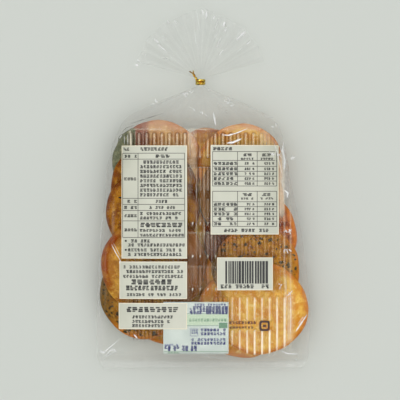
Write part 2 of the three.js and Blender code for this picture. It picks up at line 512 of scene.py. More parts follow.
def floor_material():
    s = Shader("floor_paper")
    base = s.mix(s.noise(160, 2), FLOOR_TONE, FLOOR_TONE_WARM)
    return s.finish(s.principled(Base_Color=base, Roughness=0.85, Normal=s.bump(s.noise(2, 3), 0.01)))


# ---- crackers

CRACKER_THICK = 5.0
EDGE_POWER = 10  # how flat a cracker's faces stay before its rounded edge
# Rings of a face as shares of its radius, close together at its rolled and rounded edge.
EDGE_SHARES = [0.785, 0.805, 0.825, 0.85, 0.88, 0.91, 0.935, 0.955, 0.975, 0.99, 0.998, 1]
DISC_SHARES = np.concatenate([np.linspace(0.04, 0.76, 19), EDGE_SHARES])
DISC_POINTS = 116
BOW = 0.5  # how far a cracker's rim stands above its middle
SHINGLE_TILT = 11
COLUMN_ROLL = -4  # each cracker's left side lies higher, so that the columns overlap in the middle
# How uneven a cracker's outline is: waves round it, and their height as a share of the radius.
WOBBLES = [(2, 0.015), (3, 0.012), (5, 0.009), (9, 0.005)]
ROLLED_AT = 0.92  # how far out the crest of a rolled rim lies


class Cracker:
    """A round cracker with its own plane: its height is measured from the middle of its thickness."""

    def __init__(
            self, kind, x, y, z, radius,
            tilt=SHINGLE_TILT, roll=COLUMN_ROLL, rolled=0, relief=0.5, seed=0):
        self.kind = kind
        self.centre = np.array([x, y, z], float)
        self.radius = radius
        self.tilt = math.radians(tilt)
        self.roll = math.radians(roll)
        self.rolled = rolled
        self.relief = relief
        self.seed = seed
        self.phases = np.random.default_rng(seed).uniform(0, TURN, len(WOBBLES))

    def outline(self, angle):
        wobble = sum(
            size * np.cos(waves * angle + phase) for (waves, size), phase in zip(WOBBLES, self.phases))
        small = 0.006 * noise(40 * np.cos(angle) + self.seed, 40 * np.sin(angle), 8, self.seed)
        return self.radius * (1 + wobble + small)

    def share(self, x, y):
        """How far out a point of the plane lies, from 0 at the centre to 1 at the edge."""
        return np.hypot(x, y) / self.outline(np.arctan2(y, x))

    def upper(self, y):
        """1 where a rolled rim is full and 0 at the lower end, where it runs out into the face."""
        return smooth(-0.6, -0.25, y / self.radius)

    def bumps(self, x, y, side):
        shift = self.seed * 13.7 + (200 if side < 0 else 0)
        coarse = layered_noise(x + shift, y, 13, self.seed + 3)
        blisters = np.clip(noise(x + shift, y, 5.5, self.seed + 9) - 0.25, 0, 1) ** 1.5
        return self.relief * (coarse + 0.7 * blisters)

    def height(self, x, y, side=1):
        # Rounded, so that the two faces meet in the same points all round the edge.
        share = np.clip(np.round(self.share(x, y), 9), 0, 1)
        half = CRACKER_THICK / 2 * (1 - share ** EDGE_POWER) ** 0.45
        warp = 0.5 * noise(x + self.seed, y, 40, self.seed + 1)
        rolled = self.rolled * bell(share, ROLLED_AT, 0.045) * self.upper(y) * (1 - share ** 60)
        middle = BOW * (share ** 2 - 0.5) + warp
        return middle + side * (half + rolled) + self.bumps(x, y, side) * (1 - share ** 12)

    def place(self, points):
        """Puts points of the cracker's own plane where the cracker lies."""
        x, y, z = np.asarray(points, float).reshape(-1, 3).T
        x, z = turned(x, z, self.roll)
        y, z = turned(y, z, self.tilt)
        return as_points(x, y, z) + self.centre

    def top(self, x, y):
        """Height of the upper face over a place, in a few steps towards the point that lies there."""
        up = 0 * x
        for _ in range(3):
            across = (x - self.centre[0] + up * math.sin(self.roll)) / math.cos(self.roll)
            rise = across * math.sin(self.roll) + up * math.cos(self.roll)
            along = (y - self.centre[1] + rise * math.sin(self.tilt)) / math.cos(self.tilt)
            up = self.height(across, along)
        upper = self.centre[2] + along * math.sin(self.tilt) + rise * math.cos(self.tilt)
        return np.where(self.share(across, along) < 1, upper, 0)

    def face_rings(self, side):
        angles = np.arange(DISC_POINTS) / DISC_POINTS * TURN * side
        share = DISC_SHARES[:, None]
        reach = share * self.outline(angles)[None, :]
        x = reach * np.cos(angles)
        y = reach * np.sin(angles)
        # Painted shade in the low parts of the relief and in the groove inside a rolled rim.
        hollow = np.clip(-1.6 * self.bumps(x, y, side) / max(self.relief, 0.1) - 0.2, 0, 1)
        rim = np.broadcast_to(smooth(0.84, 0.97, share), x.shape)
        if self.rolled:
            upper = self.upper(y)
            rim = smooth(0.84, 0.88, share) * upper
            hollow = np.maximum(hollow, bell(share, 0.835, 0.028) * upper)
        return as_points(x, y, self.height(x, y, side)), hollow, rim

    def add_to(self, pile):
        for side in (1, -1):
            rings, hollow, rim = self.face_rings(side)
            centre = [0, 0, float(self.height(0.0, 0.0, side))]
            points = np.concatenate([rings.reshape(-1, 3), [centre]])
            start = pile.count
            last = len(points) - 1
            around = np.arange(DISC_POINTS)
            fan = np.stack([around * 0 + last, around, (around + 1) % DISC_POINTS], axis=-1)
            quads = grid_faces(len(DISC_SHARES), DISC_POINTS, closed=True)[:, ::-1]
            # Painted shade: one side of the cracker darker, with a wavy border.
            low, high = SHADED_SIDES.get(self.kind, NO_SIDE_SHADE)
            wavy = points[:, 0] + 2.4 * noise(points[:, 0], points[:, 1], 9, self.seed)
            blush = smooth(low, high, wavy + noise(points[:, 0], points[:, 1], 3, self.seed + 1))
            pile.add(
                self.place(points), quads, hollow=np.append(hollow, 0), rim=np.append(rim, 0), blush=blush)
            pile.faces.extend((fan + start).tolist())


# Where the painted shade on one side of these kinds starts and is full, across the cracker.
SHADED_SIDES = {
    "wrapped": (-5, -9), "rimmed": (6, 20), "dipped": (-8, -20), "glazed": (-10, -20), "flecked": (-18, -32),
}
NO_SIDE_SHADE = (200, 300)  # beyond the edge of any cracker
# Each cracker of the shown layer: kind, then x, y and z of its centre and its radius.
SHOWN = {
    "L1": Cracker("wrapped", -33.2, 18.5, 27.3, 32.4, relief=0.45, seed=11),
    "L2": Cracker("soy", -36.4, 0.2, 29.6, 31.8, seed=12),
    "L3": Cracker("soy", -37.4, -17.6, 31.6, 33.7, roll=-3, seed=13),
    "L4": Cracker("rimmed", -36.2, -55.2, 35.5, 37.8, tilt=4, roll=3.5, rolled=1.9, relief=0.4, seed=14),
    "L5": Cracker("flecked", -42.3, -76.0, 26.0, 33.8, tilt=8, roll=0, seed=15),
    "R1": Cracker("golden", 26.8, 17.1, 31.0, 30.8, relief=0.5, seed=21),
    "R2": Cracker("dipped", 27.4, -4.7, 32.3, 31.2, relief=0.5, seed=22),
    "R3": Cracker("glazed", 34.4, -35.8, 31.6, 34.0, roll=-1, relief=0.7, seed=23),
    "R4": Cracker("flecked", 38.6, -58.9, 32.8, 32.2, roll=-1, relief=0.5, seed=24),
    "R5": Cracker("golden", 40.8, -86.9, 33.0, 34.9, tilt=10, roll=-1, relief=0.7, seed=25),
}
# The layer underneath, in the same two columns: kind, x, y and z of its centre, radius and roll.
UNDER = [
    ("rimmed", 3.0, 16.6, 20.2, 28.5, 0), ("wrapped", -33.5, -10.0, 9.8, 31.5, 0),
    ("golden", -30.5, -35.0, 10.2, 34.0, 0), ("wrapped", -30.5, -60.0, 10.2, 34.0, 0),
    ("flecked", -24.5, -83.0, 10.3, 33.6, 0),
    ("golden", 28.4, 14.0, 9.6, 30.0, 0), ("golden", 29.0, -10.0, 9.7, 30.0, 0),
    ("rimmed", 36.5, -35.0, 10.0, 32.0, 0), ("golden", 34.0, -60.0, 16.1, 33.0, -5),
    ("golden", 30.5, -90.4, 16.0, 34.8, -5),
]
UNDER_TILT = 12.3
UNDER_SEED = 31
CRACKERS = list(SHOWN.values()) + [
    Cracker(kind, x, y, z, radius, tilt=UNDER_TILT, roll=roll, seed=UNDER_SEED + number)
    for number, (kind, x, y, z, radius, roll) in enumerate(UNDER)]

# Each kind's look: its face, a deeper tone for patches and for the painted shade in hollows, its toasted rim
# and pale spots as red, green and blue from 0 to 255.
CRACKER_TONES = {
    "golden": ((240, 194, 90), (222, 150, 50), (204, 120, 34), (252, 226, 146)),
    "dipped": ((236, 186, 122), (218, 158, 90), (206, 132, 76), (244, 210, 156)),
    "soy": ((186, 124, 16), (132, 72, 0), (112, 52, 0), (212, 158, 50)),
    "rimmed": ((220, 164, 62), (168, 108, 32), (146, 64, 0), (222, 182, 82)),
    "glazed": ((200, 110, 46), (120, 40, 4), (212, 126, 48), (230, 156, 84)),
    "flecked": ((194, 138, 34), (154, 94, 8), (198, 116, 22), (226, 182, 86)),
    "wrapped": ((224, 176, 108), (200, 138, 72), (200, 128, 76), (238, 204, 150)),
}
# Each kind's size of patches in millimetres, roughness, gloss and the tone of the painted shade on one side.
CRACKER_FINISH = {
    "golden": (8, 0.36, 0.08, (130, 84, 56)), "dipped": (8, 0.4, 0.06, (150, 102, 46)),
    "soy": (7, 0.4, 0.05, (130, 84, 56)), "rimmed": (8, 0.38, 0.06, (136, 84, 34)),
    "glazed": (6, 0.24, 0.3, (98, 38, 8)), "flecked": (5, 0.4, 0.05, (116, 86, 34)),
    "wrapped": (8, 0.4, 0.06, (152, 92, 70)),
}


def make_crackers():
    for kind in CRACKER_TONES:
        pile = Pile()
        for cracker in CRACKERS:
            if cracker.kind == kind:
                cracker.add_to(pile)
        pile.piece("crackers_" + kind, cracker_material(kind), "cracker")


# ---- what lies on the crackers

FLAKE_CORNERS = 7


def add_flake(pile, cracker, x, y, size, draw):
    """A thin ragged plate that follows the cracker under it, a little curled at its edge."""
    turns = (np.arange(FLAKE_CORNERS) + draw.uniform(-0.3, 0.3, FLAKE_CORNERS)) / FLAKE_CORNERS * TURN
    reach = size / 2 * draw.uniform(0.55, 1.1, FLAKE_CORNERS)
    long_way = draw.uniform(0, TURN)
    edge_x = reach * np.cos(turns)
    edge_y = reach * np.sin(turns) * draw.uniform(0.45, 1)
    px, py = np.array([[x], [y]]) + turned(edge_x, edge_y, long_way)
    low = cracker.height(px, py) + draw.uniform(0.05, 0.3, FLAKE_CORNERS)
    middle = float(cracker.height(np.array(x), np.array(y))) + 0.12
    ends = [[x, y, middle], [x, y, middle + 0.2]]
    rings = np.concatenate([as_points(px, py, low), as_points(px, py, low + 0.14), ends])
    n = FLAKE_CORNERS
    faces = []
    for i in range(n):
        j = (i + 1) % n
        faces += [[i, j, n + j], [i, n + j, n + i], [2 * n, j, i], [2 * n + 1, n + i, n + j]]
    pile.add(cracker.place(rings), faces)


def add_seed(pile, cracker, x, y, length, turn):
    """A sesame seed: a flat drop, pointed at one end."""
    rings, around = 7, 8
    along = np.linspace(0, 1, rings)[:, None]
    angle = np.arange(around)[None, :] / around * TURN
    width = 0.31 * length * np.sqrt(np.sin(math.pi * np.clip(along, 0.02, 0.98))) * (0.72 + 0.42 * along)
    forward, side = turned((along - 0.5) * length, width * np.cos(angle), turn)
    ground = float(cracker.height(np.array(x), np.array(y)))
    points = as_points(x + forward, y + side, ground + 0.22 + 0.5 * width * np.sin(angle))
    caps = [list(range(around))[::-1], list(range((rings - 1) * around, rings * around))]
    start = pile.count
    pile.add(cracker.place(points), grid_faces(rings, around, closed=True))
    pile.faces.extend([[i + start for i in cap] for cap in caps])


def scattered(cracker, count, draw, reach=0.95):
    """Places spread evenly over a cracker's face."""
    shares = np.sqrt(draw.uniform(0, 1, count)) * reach
    turns = draw.uniform(0, TURN, count)
    radii = shares * cracker.outline(turns)
    return radii * np.cos(turns), radii * np.sin(turns)


FLAKES = 200
FLAKES_ON_LOWEST = 500


def make_flakes():
    pile = Pile()
    for cracker in CRACKERS:
        if cracker.kind != "flecked":
            continue
        draw = np.random.default_rng(cracker.seed + 500)
        count = FLAKES_ON_LOWEST if cracker is SHOWN["L5"] else FLAKES
        for x, y in zip(*scattered(cracker, count, draw)):
            add_flake(pile, cracker, x, y, 0.9 + 3.2 * draw.uniform() ** 2, draw)
    look = dark_flake_material("seaweed_flake", colour(52, 40, 14), colour(104, 82, 34))
    pile.piece("seaweed_flakes", look, "seaweed", smooth_faces=False)


SEEDS = {"L2": 14, "L3": 16}
SEED_LENGTH = (2.3, 3.0)


def make_seeds():
    pile = Pile()
    for name, count in SEEDS.items():
        cracker = SHOWN[name]
        draw = np.random.default_rng(cracker.seed + 700)
        for x, y in zip(*scattered(cracker, count, draw, 0.97)):
            add_seed(pile, cracker, x, y, draw.uniform(*SEED_LENGTH), draw.uniform(0, TURN))
    look = dark_flake_material("sesame_black", colour(26, 20, 14), colour(52, 40, 26), 1.2, 0.35)
    pile.piece("sesame_seeds", look, "seaweed")


NORI_EDGE = -18.0  # the wrap covers the cracker's left side up to here
NORI_STAND_OFF = 0.22
NORI_THICK = 0.16
NORI_CORNER = {"reach": 2.8, "y": 20.5, "spread": 3.6}  # where the sheet's corner stands out past the edge


def make_nori():
    """A sheet of seaweed wrapped round one side of the cracker, over its face, edge and underside."""
    cracker = SHOWN["L1"]
    shares = np.concatenate([DISC_SHARES, DISC_SHARES[-2::-1]])
    side = np.concatenate([np.ones(len(DISC_SHARES)), -np.ones(len(DISC_SHARES) - 1)])
    widest_up = math.sqrt(1 - ((NORI_EDGE - 0.8) / cracker.radius) ** 2)
    y = np.linspace(-widest_up, widest_up, 56)[:, None] * cracker.radius
    ragged = NORI_EDGE + 0.5 * noise(y, 0 * y, 6, 81) + 0.06 * y
    reach = np.maximum(np.sqrt(cracker.radius ** 2 - y ** 2) + ragged, 0.5)
    across = ragged - reach * (shares - shares[0]) / (1 - shares[0])
    corner = NORI_CORNER["reach"] * bell(y, NORI_CORNER["y"], NORI_CORNER["spread"])
    x = across * cracker.outline(np.arctan2(y, across)) / cracker.radius - corner * smooth(0.6, 1, shares)
    y = y + 0 * x
    z = np.where(side > 0, cracker.height(x, y, 1), cracker.height(x, y, -1))
    pile = Pile()
    faces = grid_faces(*x.shape)
    for inset in (0, NORI_THICK):
        out = (NORI_STAND_OFF - inset) * smooth(0.9, 1, shares)
        lifted = z + side * (NORI_STAND_OFF - inset + 0.12 * noise(x, y, 4, 82))
        pile.add(cracker.place(as_points(x - out, y, lifted)), faces[:, ::-1] if inset else faces)
    look = dark_flake_material("nori_sheet", colour(94, 98, 72), colour(138, 138, 102), 3.5, 0.5)
    pile.piece("nori_wrap", look, "seaweed")


# ---- tray

TRAY_LEFT, TRAY_RIGHT = -52.4, 58.5
TRAY_END, TRAY_HEAD = -121.7, 43.0
TRAY_Z = 43.4
TRAY_CLEARANCE = 0.5  # to the film over it
WALL_ROOM = 1.3  # from a side wall to the bag's edge
DRAWN_IN = 9.0  # width of the outer strip that is drawn in to keep that room
RIB_PITCH = 5.52
RIB_FIRST_X = -52.0
RIB_COUNT = 21
RIB_HALF_WIDTH = 1.45
RIB_HEIGHT = 1.5
RIB_ROWS = [
    (40.3, 22.0), (15.9, -1.4), (-7.6, -24.9), (-31.5, -48.8), (-55.3, -72.6), (-78.4, -95.7),
    (-102.2, -120.8),
]
LONG_RIBS = (-78.4, -120.8)  # the last ribs on the right run on between these
LONG_RIBS_FROM = 19  # the number of the first one, from the left
NO_RIB = 99.0  # the distance where there is no rib
CHANNEL = (-11.6, -5.2)  # a smooth gutter between the two columns of ribs
SIDE_WALL = profile([(0, 0), (3, 0.5), (8, 2), (14, 4), (19, 8), (22, 14), (24, 22)])
HEAD_WALL = profile([(0, 0), (1.5, 0.3), (6.5, 3.2), (8.2, 8), (9.2, 20)])
END_WALL = profile([(0, 0), (1, 0.6), (2.2, 6), (3.4, 18), (4, 24)])
OUTER_EDGE_X = 63.0  # where the right wall folds over
CROSS_CREASES = (15.2, -32.1, -56.7)


def rib_distance(x, y):
    """Distance from the middle line of the nearest rib, whose ends are round."""
    number = np.clip(np.round((x - RIB_FIRST_X) / RIB_PITCH), 0, RIB_COUNT - 1)
    aside = np.abs(x - (RIB_FIRST_X + RIB_PITCH * number))

    def to_row(head, end):
        inner = (head - end) / 2 - RIB_HALF_WIDTH
        return np.hypot(aside, np.clip(np.abs(y - (head + end) / 2) - inner, 0, None))

    nearest = np.min([to_row(*row) for row in RIB_ROWS], axis=0)
    nearest = np.where(number >= LONG_RIBS_FROM, np.minimum(nearest, to_row(*LONG_RIBS)), nearest)
    return np.where((x > CHANNEL[0]) & (x < CHANNEL[1]), NO_RIB, nearest)


def rib_drift(x, y):
    """How far the ribs of the lower right corner stand beside the even pitch of the others."""
    corner = smooth(6, 16, x) * smooth(-60, -78, y) * smooth(64, 59, x)
    return corner * (1.3 - 0.02 * (x - 19.5))


def tray_columns():
    """Grid lines across the tray, close together on the sides of each rib, then down each wall."""
    steps = np.array([-2.76, -2.1, -1.85, -1.6, -1.35, -1.1, -0.7, 0, 0.7, 1.1, 1.35, 1.6, 1.85, 2.1])
    ribs = (RIB_FIRST_X + RIB_PITCH * np.arange(RIB_COUNT)[:, None] + steps).reshape(-1)
    inside = ribs[(ribs > TRAY_LEFT) & (ribs < TRAY_RIGHT)]
    out = np.array([0, 0.4, 1.2, 2.4, 4, 4.5, 5, 6.5, 9, 11.5, 14, 16.5, 19, 20.6, 22, 23.2, 24])
    return np.concatenate([TRAY_LEFT - out[::-1], inside, TRAY_RIGHT + out])


def tray_rows():
    """Grid lines along the tray, close together at the ends of each rib."""
    at_head = (9.2, 8.7, 8.2, 7.4, 6.5, 5, 3.2, 1.5, 0.7, 0.35, 0, -0.35, -0.7, -1.4)
    at_end = (0.1, 0.5, 1, 1.6, 2.2, 2.8, 3.4, 4)
    lines = [TRAY_HEAD + step for step in at_head] + [TRAY_END - step for step in at_end]
    for head, end in RIB_ROWS:
        for step in (-0.5, -0.1, 0.25, 0.6, 1.0, 1.5, 2.2):
            lines += [head - step, end + step]
        lines += np.linspace(head - 4, end + 4, 6).tolist()
        lines += [end - 2.2, end - 3.9] if end > TRAY_END + 5 else []
    lines += [crease + step for crease in CROSS_CREASES for step in (-0.3, 0, 0.3)]
    kept = []
    for line in sorted(lines, reverse=True):
        if not kept or kept[-1] - line > 0.14:
            kept.append(line)
    return np.array(kept)


def tray_place(column, y):
    """Draws the outer grid lines in, so that the walls stay inside the film where the bag narrows."""
    x = column
    for limit, side in ((right_edge(y) - WALL_ROOM, 1), (left_edge(y) + WALL_ROOM, -1)):
        knee = side * limit - DRAWN_IN
        past = side * x - knee
        drawn = side * (knee + DRAWN_IN * (1 - np.exp(-np.clip(past, 0, None) / DRAWN_IN)))
        x = np.where(past > 0, drawn, x)
    return x


def tray_height(x, y, ribbed):
    """Height of the tray, whose side walls are fluted."""
    beside = np.clip(np.maximum(TRAY_LEFT - x, x - TRAY_RIGHT), 0, 24)
    head = HEAD_WALL(np.clip(y - TRAY_HEAD, 0, 9.2))
    end = END_WALL(np.clip(TRAY_END - y, 0, 4))
    level = TRAY_Z - (SIDE_WALL(beside) + head + end)
    flutes = 0.35 * np.cos(TURN * y / 7.9) * window(beside, 1, 6, 15, 24)
    sag = 0.25 * noise(x, y, 28, 90)
    room = film_top(x, y) - TRAY_CLEARANCE - RIB_HEIGHT * ribbed
    # The widest cracker reaches under the wall, which lies over its rim there.
    level = np.maximum(level + flutes + sag, SHOWN["L4"].top(x, y) + 0.3)
    return np.minimum(level, room - 0.2) + RIB_HEIGHT * ribbed


def over_crackers(x, y):
    """1 where a cracker of the shown layer lies under the place, and 0 beside them."""
    inside = 0 * x
    for cracker in SHOWN.values():
        share = cracker.share(x - cracker.centre[0], y - cracker.centre[1])
        inside = np.maximum(inside, smooth(1.0, 0.95, share))
    return inside


def painted_highlights(x, y, distance):
    """Painted highlights and glints on the sheet: along rib edges and folds, and over the broad crowns at
    one corner.
    """
    number = np.round((x - RIB_FIRST_X) / RIB_PITCH)
    aside = x - (RIB_FIRST_X + RIB_PITCH * number)
    inside = over_crackers(x, y)
    on_tray = (y < TRAY_HEAD) * smooth(-118, -116, y)
    middle = smooth(14, 9, np.abs(x + 2))
    upper = smooth(28, 31, y)
    corner = smooth(16, 22, x) * smooth(-76, -81, y)
    corner = corner * (1 - 0.3 * smooth(-101, -97, y) * (number < LONG_RIBS_FROM))

    # Painted highlight bars over the rib crowns, strongest at the lower right corner.
    crown = smooth(RIB_HALF_WIDTH, RIB_HALF_WIDTH - 0.5, distance) * smooth(1.0, 0.5, np.abs(aside + 0.25))
    highlight_bars = 0.9 * corner * (0.8 + 0.3 * noise(x, y, 9, 93))
    broad = crown * (0.03 + highlight_bars + 0.22 * smooth(18, 24, y)) * inside
    inside = np.maximum(inside, middle * on_tray)

    # Painted light lines along the rib edges, between the ribs and along their crests.
    broken = smooth(-0.5, 0.6, noise(x, y, 11, 98))
    lines = bell(distance, RIB_HALF_WIDTH, 0.3) * (0.08 + 0.16 * corner + 0.2 * middle)
    between = bell(np.abs(aside), RIB_PITCH / 2, 0.3) * (distance < NO_RIB)
    lines = lines + between * (0.14 + 0.32 * middle * broken + 0.2 * upper)
    crest = bell(aside, 0, 0.35) * smooth(RIB_HALF_WIDTH, RIB_HALF_WIDTH - 0.4, distance)
    lines = (lines + crest * (0.3 * middle * (1 - corner) + 0.14 * upper)) * inside
    lines = lines * (0.7 + 0.5 * noise(x, y, 17, 91)) * (1 - 0.5 * smooth(-48, -54, y) * middle)
    # The smooth channel is drawn paler, most towards its upper end.
    in_channel = window(x, CHANNEL[0] - 1, CHANNEL[0] + 1, CHANNEL[1] - 1, CHANNEL[1] + 1)
    channel_pale = 0.05 + 0.2 * smooth(10, 28, y) - 0.05 * smooth(-40, -50, y)
    channel_pale = channel_pale + 0.1 * noise(x, y * 0.2, 2.5, 97)
    lines = np.maximum(lines, in_channel * channel_pale * on_tray)

    # Painted glints at the lower ends of the middle ribs, and painted light along the cross creases and the
    # tray's upper edge.
    glint_dots = [smooth(0.85, 0.3, np.hypot(aside, y - end)) for _, end in RIB_ROWS[2:6]]
    glint_dots = 0.95 * np.max(glint_dots, axis=0) * smooth(14, 10, np.abs(x))
    crease_highlights = [smooth(0.45, 0.1, np.abs(y - crease)) for crease in CROSS_CREASES]
    crease_highlights = 0.3 * np.max(crease_highlights, axis=0) * smooth(15, 10, np.abs(x + 3))
    head_line = smooth(0.6, 0.1, np.abs(y - TRAY_HEAD)) * window(x, -54, -52, 8, 12)
    head_line = head_line * (0.3 + 0.25 * noise(x, y, 7, 94))
    # Painted highlights along the upper left corner and the folds of the right wall; painted sheen on the
    # lower right wall, beside the print, at the head and over the upper right crackers.
    off_corner = np.abs(x - TRAY_LEFT + 0.07 * (y - 31))
    corner_glint = 0.95 * smooth(0.7, 0.15, off_corner) * window(y, 29, 32, 41, 42.5)
    wall_glints = [smooth(0.8, 0.1, np.abs(x - edge)) for edge in (TRAY_RIGHT, OUTER_EDGE_X)]
    wall_glints = 0.3 * np.max(wall_glints, axis=0) * window(y, -118, -114, -12, -8)
    wall_sheen = 0.36 * window(x, 59.5, 60.5, 64, 65.5) * window(y, -114, -108, -80, -74)
    edge_sheen = 0.5 * window(x, 54, 55.6, 58, 59.5) * window(y, -24, -17, 24, 30)
    head_sheen = window(x, -46, -38, 44, 50) * smooth(40.5, 43.5, y) * inside
    head_sheen = head_sheen * (0.17 + 0.1 * noise(x, y, 8, 96))
    right_sheen = smooth(38, 46, x) * smooth(26, 32, y) * (0.3 + 0.15 * noise(x, y, 6, 100)) * inside
    parts = [
        broad + lines, glint_dots, crease_highlights, head_line, corner_glint, wall_glints,
        wall_sheen, edge_sheen, head_sheen, right_sheen]
    return np.clip(np.max(parts, axis=0), 0, 1)


def shaded(x, y, distance):
    """Painted shade: dark lines beside each rib, uneven along the tray and closer to the ribs in its lower
    half, with dark bands and a dark patch, all over the crackers only.
    """
    highlight_bars = smooth(-72, -80, y) * smooth(12, 18, x)
    line = bell(distance, RIB_HALF_WIDTH + 0.62 * highlight_bars, 0.55 - 0.15 * highlight_bars)
    amount = 0.62 + 0.3 * noise(x, y, 14, 92) + 0.3 * smooth(28, 31, y) * smooth(24, 14, x) - 0.15 * highlight_bars
    amount = amount - 0.28 * smooth(14, 20, x) * smooth(-30, -34, y) + 0.35 * smooth(15, 11, np.abs(x))
    # Faint painted shade in streaks along the channel.
    in_channel = window(x, CHANNEL[0] - 0.6, CHANNEL[0] + 0.6, CHANNEL[1] - 0.6, CHANNEL[1] + 0.6)
    faint = 0.5 * smooth(0.2, 0.7, noise(x, y * 0.05, 1.6, 95)) * in_channel
    # Painted shade in bands across the gaps between the rib rows, and on a patch at one corner.
    gaps = [np.abs(y - (head + end) / 2) for (_, end), (head, _) in zip(RIB_ROWS, RIB_ROWS[1:])]
    gaps = smooth(5.2, 2.6, np.min(gaps, axis=0)) * smooth(17, 11, np.abs(x))
    gaps = 0.6 * gaps * (0.8 + 0.5 * noise(x, y, 4, 99))
    dim_corner = 0.34 * window(x, 40, 45, 57, 60) * window(y, -77, -72, -60, -56)
    parts = [line * amount * (1 - in_channel) + faint, gaps, dim_corner]
    return np.clip(np.max(parts, axis=0) * over_crackers(x, y), 0, 1)


def make_tray():
    column, y = np.meshgrid(tray_columns(), tray_rows())
    x = tray_place(column, y)
    distance = rib_distance(x, y)
    ribbed = smooth(RIB_HALF_WIDTH + 0.5, RIB_HALF_WIDTH - 0.45, distance)
    placed = x + rib_drift(x, y)
    pile = Pile()
    pile.add(
        as_points(placed, y, tray_height(placed, y, ribbed)), grid_faces(*x.shape)[:, ::-1],
        milky=painted_highlights(x, y, distance), shade=shaded(x, y, distance))
    # Its haze is the warm colour of the painted highlights.
    look = clear_sheet(
        "tray_sheet", ior=1.38, gloss=0.12, gloss_limit=0.05, tint=(0.995, 0.995, 0.988, 1),
        haze=(0.98, 0.88, 0.68, 1), fine_size=6, fine_depth=0.1)
    pile.piece("tray", look, "tray")


# ---- film

FILM_POINTS = 320
FILM_SPANS = [(-132.3, -127.6, 7), (-127.2, -118.5, 16), (-116.8, 45.5, 92), (47, 75, 26)]
FAN_SHARES = np.concatenate([[0.09, 0.13], np.linspace(0.18, 1, 27)])


FOLD_SHADE = (0.86, 0.86, 0.84, 1)
# Streaks of the fan as direction in degrees, half width in degrees and strength: painted light ones, painted
# shade ones.
LIT_STREAKS = [(91, 5, 0.05), (104, 6, 0.05), (74, 8, 0.05), (122, 7, 0.06), (52, 9, 0.05), (140, 4, 0.04)]
SHADE_STREAKS = [(156, 6, 0.22), (18, 5, 0.2), (148, 2, 0.2), (34, 4, 0.18), (97, 1.2, 0.15)]


def film_tone(x, y):
    """Painted light and painted shade on the film: a white haze that lightens the fan, the shoulders by the
    neck and the slack film beside the tray, painted glints at the right edge, and painted shade in dark
    streaks on the fan and at the shoulders.
    """
    right = x - NECK["x"]
    up = y - FAN_CENTRE_Y
    degrees = np.degrees(np.arctan2(up, right))
    away = np.hypot(right, up)
    in_fan = (y > FAN_CENTRE_Y) * smooth(2, 9, away)
    spokes = 0.5 + 0.5 * noise(degrees, 0.02 * away, 4.2, 71)
    # Painted light: a white haze over the fan, brighter in streaks.
    haze = 0.08 + 0.04 * spokes
    for middle, half, strength in LIT_STREAKS:
        haze = haze + strength * bell(degrees, middle, half) * (0.6 + 0.4 * spokes)
    # Painted shade: dark streaks on the fan.
    dark = 0.03 * smooth(0.4, 0.1, spokes)
    for middle, half, strength in SHADE_STREAKS:
        dark = dark + strength * bell(degrees, middle, half)
    shoulder = smooth(30, 58, y) * (y <= FAN_CENTRE_Y)
    middle, half = middle_and_half(np.clip(y, SEAL_END, 75))
    across = np.abs(x - middle) / half
    beside = np.maximum(smooth(0.84, 0.97, across), smooth(-114, -122, y)) * (y < 75)
    folds_down = 0.5 + 0.5 * noise(degrees, 0 * degrees, 4, 72)
    # A patch of painted glints at the right edge; painted light over the slack film off the crackers.
    glint_patch = window(x, 53, 57, 61, 66) * window(y, -12, -4, 28, 36)
    beside = np.maximum(beside, 2 * glint_patch) * (1 - over_crackers(x, y))
    milky = in_fan * haze + np.maximum(shoulder * (0.16 + 0.09 * folds_down ** 2), 0.16 * beside)
    shade = in_fan * dark * smooth(52, 30, away) + shoulder * 0.15 * smooth(0.6, 1, 1 - folds_down)
    return np.clip(milky, 0, 1), np.clip(shade, 0, 1)


def make_film():
    even = np.arange(FILM_POINTS) / FILM_POINTS * TURN
    angles = even - 0.2 * np.sin(2 * even)
    # The seal's edge is one line, in which the points of the upper and the lower film meet.
    seal = body_rings([SEAL_END], angles)
    opposite = -np.arange(FILM_POINTS) % FILM_POINTS
    seal[..., 0] = (seal[..., 0] + seal[:, opposite, 0]) / 2
    seal[..., 2] = widest(SEAL_END)
    body = body_rings(np.concatenate([np.linspace(*span) for span in FILM_SPANS]), angles)
    neck = neck_rings(np.linspace(NECK["from"], NECK["to"], 4), angles)
    rings = np.concatenate([seal, body, neck, fan_rings(FAN_SHARES, even)])
    milky, shade = (tone * (even < math.pi) for tone in film_tone(rings[..., 0], rings[..., 1]))
    pile = Pile()
    pile.add(rings, grid_faces(len(rings), FILM_POINTS, closed=True)[:, ::-1], milky=milky, shade=shade)
    # haze is the white of the painted light, and FOLD_SHADE the tint of the painted shade.
    look = clear_sheet(
        "film_clear", ior=1.3, gloss=0.25, gloss_limit=0.04, tint=(0.9995, 0.9995, 0.998, 1),
        haze=(0.98, 0.98, 0.97, 1), fine_size=5, fine_depth=0.12,
        dark=FOLD_SHADE, white_from=0.006, through=0.5)
    pile.piece("film", look, "film")


